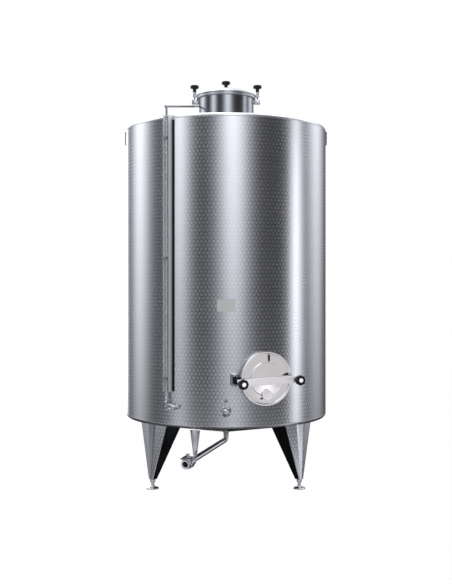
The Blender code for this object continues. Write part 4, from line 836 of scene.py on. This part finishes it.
# %% Hang the door on its hinge
HINGE_SIDE, HINGE_OUT = -0.208, 0.738
hinge_low, hinge_high = (corner.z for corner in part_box("manway_hinge"))
barrel = collar(0.005, 0.0095, -0.0280, 0.0200, 0.001)
arm = block((0.004, -0.003, -0.024), (0.050, 0.003, 0.015), 0.001)
hinge_leaf = moved(joined(barrel, arm), (HINGE_SIDE, -HINGE_OUT, (hinge_low + hinge_high) / 2 + 0.004))
# The hinge leaf is painted dark as shade
new_piece("manway_door_hinge_leaf", hinge_leaf, painted_shade_stainless, place=station(MANWAY_AZIMUTH),
          body="manway_door")
new_piece("manway_hinge_ears", softened("manway_hinge", 0.0006), brushed_stainless, ["manway_hinge"])
new_piece("manway_catch_block", softened("manway_catch", 0.0008), cast_stainless, ["manway_catch"])

# %% Bend the clamp bar and mould its knobs
BAR_Z, BAR_TILT, BAR_FRONT, BAR_PITCH = 0.7265, 1.94, 0.7645, 0.0007
tilted = station(MANWAY_AZIMUTH, z=BAR_Z) @ Matrix.Rotation(math.radians(-BAR_TILT), 4, "Y")
new_piece("clamp_bar_bent", softened("clamp_bar", 0.0009, 3), satin_stainless, ["clamp_bar"],
          body="manway_door")
for side, across, back in (("left", -0.192, BAR_FRONT - 0.014), ("right", 0.192, 0.7003)):
    node = f"clamp_knob_{side}"
    place = tilted @ Matrix.Translation((across, 0, 0)) @ Matrix.Rotation(math.radians(90), 4, "X")
    new_piece(f"{node}_handwheel", handwheel(0.845, BAR_FRONT + 0.004, 0.0325, 0.026, 0.016, 0.0026),
              black_phenolic_and_shade, [node], place, body="manway_door")
    cap = turned([(0.0, 0.8465), (0.0128, 0.8465), (0.0135, 0.8452), (0.0135, 0.8440), (0.0, 0.8440)],
                 0.0006, 48)
    new_piece(f"{node}_cap", cap, pale_cap, place=place, body="manway_door")
    washer = collar(0.005, 0.0155, BAR_FRONT + 0.0003, BAR_FRONT + 0.0038, 0.0008, 48)
    bolt = threaded(0.005, back, BAR_PITCH, int((BAR_FRONT + 0.006 - back) / BAR_PITCH), 24)
    new_piece(f"{node}_bolt", joined(washer, bolt), cast_stainless, place=place, body="manway_door")

# %% Fit the port cap and the strap above the bar
port = turned([(0.0, 0.7545), (0.0235, 0.7545), (0.0255, 0.7570), (0.032, 0.7570), (0.032, 0.7410),
               (0.0, 0.7410)], 0.0016, 72)
new_piece("door_port_cap", port, satin_stainless, ["door_port"],
          station(MANWAY_AZIMUTH, z=0.6395, outwards=True), body="manway_door")
tab = block((-0.040, -0.7500, 0.6120), (-0.030, -0.7415, 0.6200), 0.001)
new_piece("door_port_tab", tab, black_phenolic_and_shade, place=station(MANWAY_AZIMUTH), body="manway_door")
strap = block((0.011, -0.7432, 0.852), (0.023, -0.7370, 0.892), 0.0012)
new_piece("door_strap", strap, dark_anodised, place=station(MANWAY_AZIMUTH), body="manway_door")

# %% [markdown]
# ## Sample valve and name plate
# A small polished valve low on the wall lets the keeper draw a taste. It is turned, with a short
# spout and a handle above. The plate is bare sheet, rolled to the wall, with a raised border.

# %% Turn the sample valve
SAMPLE_Z, SAMPLE_OUT = 0.535, 0.7243
sample_place = station(0.0, z=SAMPLE_Z, outwards=True)
valve = turned([(0.0, 0.748, 0), (0.013, 0.748, 0.001), (0.020, 0.741, 0.002), (0.020, 0.7145, 0.002),
                (0.0315, 0.7113, 0.002), (0.0345, 0.7083, 0.002), (0.0345, 0.6990, 0.0), (0.0, 0.6990, 0.0)],
               0.001, 80)
spout = from_curve([(0.0, 0.008, 0.7263), (0.005, -0.011, 0.7300), (0.010, -0.030, 0.7343)], 0.008)
stem = moved(rod(0.009, 0.0, 0.0268, 0.001), (0.0, 0.0, SAMPLE_OUT), (-90, 0, 0))
new_piece("sample_valve_turned", joined(valve, spout, stem), cast_stainless, ["sample_valve"], sample_place)
# A black disc in the spout's mouth is painted shade for its dark bore
mouth = moved(rod(0.0062, -0.002, 0.0004, 0.0002, 32), (0.0072, -0.020, 0.7385))
new_piece("sample_spout_mouth_painted_shade", mouth, black_phenolic_and_shade, place=sample_place)

# %% Forge its handle
handle_place = station(0.0, out=SAMPLE_OUT, z=SAMPLE_Z)
handle = rod(0.010, 0.0275, 0.0395, 0.0025)
grip = rod(0.0045, 0.036, 0.069, 0.001, 24)
paddle = block((-0.008, -0.0035, 0.046), (0.008, 0.0035, 0.068), 0.0022, 3)
new_piece("sample_handle_forged", joined(handle, grip, paddle), polished_stainless, ["sample_handle"],
          handle_place, body="sample_handle")
tip = block((-0.0085, -0.004, 0.0615), (0.0085, 0.004, 0.0690), 0.0018)
new_piece("sample_handle_tip", tip, black_phenolic_and_shade, place=handle_place, body="sample_handle")

# %% Roll the name plate
PLATE_Z, PLATE_WIDTH, PLATE_HEIGHT, BORDER = 1.204, 0.118, 0.082, 0.003
plate = rolled_plate(PLATE_WIDTH, PLATE_HEIGHT, TANK_RADIUS + 0.0005, TANK_RADIUS + 0.0014)
new_piece("name_plate_sheet", plate, plate_aluminium, ["name_plate"], station(z=PLATE_Z))
sides = ((0.0, 0.0395, PLATE_WIDTH, BORDER, 24), (0.0, -0.0395, PLATE_WIDTH, BORDER, 24),
         (-0.0575, 0.0, BORDER, PLATE_HEIGHT, 2), (0.0575, 0.0, BORDER, PLATE_HEIGHT, 2))
border = [rolled_plate(wide, high, TANK_RADIUS + 0.0012, TANK_RADIUS + 0.0020, cells, across, z)
          for across, z, wide, high, cells in sides]
new_piece("name_plate_border", joined(*border), brushed_stainless, place=station(z=PLATE_Z))

# %% [markdown]
# ## Outlet
# The tank empties at the middle of its cone through a pipe that bends forward under the tank, held by
# a strap, to a ball valve with a lever. The pipe is a curve with a round bevel; the valve is turned
# from one section, with a real bore, because the mouth faces the viewer.

# %% Bend the outlet pipe
OUTLET_AZIMUTH, OUTLET_PITCH = -23.4, math.radians(5.3)
PIPE_START_Z, PIPE_BEND, PIPE_END, VALVE_BALL, VALVE_END = 0.2405, 0.030, 0.556, 0.617, 0.662
outlet_place = station(OUTLET_AZIMUTH)
cone_low = cone_height(PIPE_RADIUS, BOTTOM_PITCH, BOTTOM_KNUCKLE_Z, -1)
along = Vector((0, -math.cos(OUTLET_PITCH), -math.sin(OUTLET_PITCH)))
elbow = Vector((0, 0, PIPE_START_Z))
pipe_path = [Vector((0, 0, cone_low + 0.004)),
             *bend(elbow + Vector((0, 0, PIPE_BEND)), elbow, elbow + along * PIPE_BEND, 12),
             elbow + along * PIPE_END]
new_piece("outlet_pipe_bent", from_curve(pipe_path, PIPE_RADIUS, resolution=12), mirror_tube,
          ["outlet_pipe"], outlet_place)
new_piece("outlet_weld", bead(PIPE_RADIUS - 0.001, cone_low - 0.0035, 0.006, 0.004, 64), weld_stainless,
          place=outlet_place)

# %% Turn the ball valve
valve_turn = Matrix.Rotation(math.radians(90.0) + OUTLET_PITCH, 4, "X")
valve_place = outlet_place @ Matrix.Translation(elbow) @ valve_turn
half = [(0.017, 0.004), (0.0205, 0.0), (0.030, 0.0), (0.030, 0.016), (0.023, 0.020), (0.031, 0.026),
        (0.036, 0.034)]
near = [(r, PIPE_END + FIT + z) for r, z in reversed(half)]
shell = turned([(r, VALVE_END - z) for r, z in half] + near, 0.0018, 96, True)
bolts = [moved(rod(0.0052, -0.044, 0.012, 0.0012, 24),
               (0.0335 * math.cos(a), 0.0335 * math.sin(a), VALVE_BALL + 0.018))
         for a in (math.radians(45 + 90 * i) for i in range(4))]
stem = moved(turned([(0.0, 0.0455), (0.0065, 0.0455), (0.0065, 0.040), (0.010, 0.039), (0.010, 0.020),
                     (0.0, 0.020)], 0.001), (0, 0, VALVE_BALL), (-90, 0, 0))
new_piece("outlet_valve_turned", joined(shell, *bolts, stem), cast_stainless, ["outlet_valve"], valve_place)
# A black disc deep in the bore, where the ball sits, is painted shade
ball = moved(rod(0.0168, -0.004, 0.0, 0.0, 48), (0, 0, VALVE_BALL + 0.015))
new_piece("outlet_ball_painted_shade", ball, black_phenolic_and_shade, place=valve_place)

# %% Forge the lever and bend the hanger
new_piece("outlet_lever_bent", softened("outlet_lever", 0.0007), brushed_stainless, ["outlet_lever"],
          body="outlet_lever")
new_piece("pipe_hanger_strap", softened("pipe_hanger", 0.0007), brushed_stainless, ["pipe_hanger"])

# %% [markdown]
# ## Light
# Steel shows nothing but its surroundings, so the light is the look. In the photograph the tank
# mirrors a room with bright, upright strips and dark gaps between them. The world here is made the
# same way: each strip is a power of the cosine of the angle from its own direction, and fades
# downwards. Smaller glows stand for ceiling, floor and the white wall behind the tank. The camera
# itself sees plain white.

# %% Build the studio of light strips
world = bpy.data.worlds.new("studio")
world.use_nodes = True
sky = world.node_tree
sky.nodes.clear()
seen = add_node(sky, "TexCoord", out="Generated")
parts = add_node(sky, "SeparateXYZ", {"Vector": seen}, "X").node.outputs
flat = add_node(sky, "CombineXYZ", {"X": parts["X"], "Y": parts["Y"]})
level = add_node(sky, "VectorMath", {0: flat}, operation="NORMALIZE")
# What a fade can follow: height, nearness to the back, and nearness to straight behind
MEASURES = {"height": parts["Z"], "back": parts["Y"],
            "straight": add_node(sky, "SeparateXYZ", {"Vector": level}, "Y")}
AMBIENT = 0.062
EVEN, SOFT = "LINEAR", "SMOOTHSTEP"


def share_of_light(strips, fades):
    """Light of strips (degrees from the front, width in degrees, strength), times its fades.

    A fade (measure, low, high, first, last, kind) runs from first to last between low and high.
    """
    light = None
    for azimuth, width, strength in strips:
        toward = (math.sin(math.radians(azimuth)), -math.cos(math.radians(azimuth)), 0.0)
        facing = add_node(sky, "VectorMath", {0: level, 1: toward}, "Value", operation="DOT_PRODUCT")
        lit = add_node(sky, "Math", {0: facing, 1: 0.0}, operation="MAXIMUM")
        power = math.log(0.5) / math.log(math.cos(math.radians(width / 2)))
        lobe = add_node(sky, "Math", {0: lit, 1: power}, operation="POWER")
        light = add_node(sky, "Math", {0: lobe, 1: strength, 2: light or 0.0},
                         operation="MULTIPLY_ADD")
    for measure, low, high, first, last, kind in fades:
        fade = add_node(sky, "MapRange", {"Value": MEASURES[measure], "From Min": low,
                                                    "From Max": high, "To Min": first, "To Max": last},
                        interpolation_type=kind)
        light = add_node(sky, "Math", {0: light or 1.0, 1: fade}, operation="MULTIPLY")
    return light


# The two strips that the front of the wall mirrors, and two at its sides that fade less
shares = [share_of_light(((-53.2, 17.5, 1.07), (7.8, 24.5, 1.06)),
                         (("height", -0.107, 0.32, 0.42, 2.35, EVEN),)),
          share_of_light(((-114.5, 28.0, 1.25), (124.0, 29.0, 0.95)),
                         (("height", -0.25, 0.35, 0.098, 2.1, EVEN),))]
# A window at the right, dimmer above and below, and a tall strip behind that lights the left limb
shares += [share_of_light(((85.3, 12.5, 2.45),), (("height", 0.10, 0.20, 1.0, 0.52, SOFT),
                                                  ("height", -0.17, -0.05, 0.45, 1.0, EVEN))),
           share_of_light(((-164.5, 18.0, 3.1),), (("height", -0.22, -0.12, 0.0, 1.0, EVEN),))]
# The ceiling, the floor in front of the tank, and what light every side has
shares += [share_of_light((), (("height", 0.55, 0.95, 0.0, 1.1, SOFT),)),
           share_of_light((), (("back", -0.30, 0.05, 1.0, 0.0, SOFT),
                               ("height", -0.60, -0.35, 0.0, 0.8, SOFT),
                               ("height", -0.30, -0.16, 1.0, 0.0, SOFT))),
           share_of_light((), (("height", -0.45, -0.12, 0.01, AMBIENT, SOFT),))]
# The white wall: low down only straight behind, where the roof mirrors it, and higher up all round
straight_wall = share_of_light((), (("straight", 0.955, 0.985, 0.0, 0.85, SOFT),
                                    ("height", 0.13, 0.24, 0.0, 1.0, SOFT)))
high_wall = share_of_light((), (("back", -0.05, 0.30, 0.0, 1.0, SOFT),
                                ("height", 0.30, 0.45, 0.0, 0.85, SOFT)))
glow = add_node(sky, "Math", {0: straight_wall, 1: high_wall}, operation="MAXIMUM")
for share in shares:
    glow = add_node(sky, "Math", {0: glow, 1: share}, operation="ADD")
room = add_node(sky, "Background", {"Color": linear("#F6F8FF"), "Strength": glow})
backdrop = add_node(sky, "Background", {"Color": linear("#FFFFFF"), "Strength": 1.0})
to_camera = add_node(sky, "LightPath", out="Is Camera Ray")
choice = add_node(sky, "MixShader", {0: to_camera, 1: room, 2: backdrop})
add_node(sky, "OutputWorld", {"Surface": choice})
bpy.context.scene.world = world
print("shares of light", len(shares) + 2)

# %% [markdown]
# ## Two lamps
# A large soft lamp in front lights what is satin or matt, and is hidden from mirrors, which would
# show its disc. The door is polished and faces a dark gap between the strips, yet in the photograph
# it is pale, so a white card stands where the door mirrors it. Light linking keeps the card to the
# door alone: on the wall it would draw a strip that isn't there.

# %% Hang the soft lamp
SOFT_SIZE, SOFT_POWER, SOFT_PLACE = 3.5, 220.0, Vector((1.0, -5.5, 3.2))


def area_lamp(name, shape, size, power, location, toward):
    """An area light at a place, facing a direction."""
    lamp = bpy.data.lights.new(name, "AREA")
    lamp.shape, lamp.size, lamp.energy = shape, size, power
    holder = link_object(name, lamp)
    holder.location = location
    holder.rotation_euler = toward.to_track_quat("-Z", "Y").to_euler()
    return holder


soft_lamp = area_lamp("soft_front_light", "DISK", SOFT_SIZE, SOFT_POWER, SOFT_PLACE,
                      Vector((0.0, 0.0, 1.0)) - SOFT_PLACE)
soft_lamp.visible_glossy = False
print("soft lamp", SOFT_POWER, "W")

# %% Stand the white card
CARD_SIZE, CARD_POWER, CARD_DISTANCE = 3.2, 21.0, 3.0
door_middle = station(MANWAY_AZIMUTH, out=DOOR_FRONT, z=MANWAY_Z).translation
door_normal = Matrix.Rotation(math.radians(MANWAY_AZIMUTH), 3, "Z") @ Vector((0.0, -1.0, 0.0))
mirrored = (door_middle - camera.location).normalized().reflect(door_normal)
card = area_lamp("door_card", "SQUARE", CARD_SIZE, CARD_POWER, door_middle + mirrored * CARD_DISTANCE,
                 -mirrored)
card.visible_camera = False
served = bpy.data.collections.new("door_card_serves")
served.objects.link(door_piece)
card.light_linking.receiver_collection = served
print("card at", [round(value, 3) for value in card.location])

# %% [markdown]
# ## Floor
# The floor is a plain pale sheet, hidden from the steel so that it doesn't light the tank from below.

# %% Lay the floor
FLOOR_RADIUS = 9.0
floor_shape = bmesh.new()
bmesh.ops.create_circle(floor_shape, cap_ends=True, segments=96, radius=FLOOR_RADIUS)
floor_mesh = bpy.data.meshes.new("floor")
floor_shape.to_mesh(floor_mesh)
floor_shape.free()
floor = link_object("floor", floor_mesh)
# White vinyl sweep: an even white with a speck too faint to draw the eye
pale_floor, tree = start_material("pale_floor")
place = add_node(tree, "TexCoord", out="Object")
speck = add_node(tree, "TexNoise", {"Vector": place, "Scale": 40.0, "Detail": 3.0}, "Fac")
shade = add_node(tree, "MapRange", {"Value": speck, "From Min": 0.3, "From Max": 0.7,
                                              "To Min": 0.985, "To Max": 1.0})
lit = add_node(tree, "Emission", {"Color": linear("#FFFFFF"), "Strength": shade})
add_node(tree, "OutputMaterial", {"Surface": lit})
floor_mesh.materials.append(pale_floor)
floor.visible_glossy = False
floor.visible_diffuse = False
print("floor", FLOOR_RADIUS, "m to its edge")
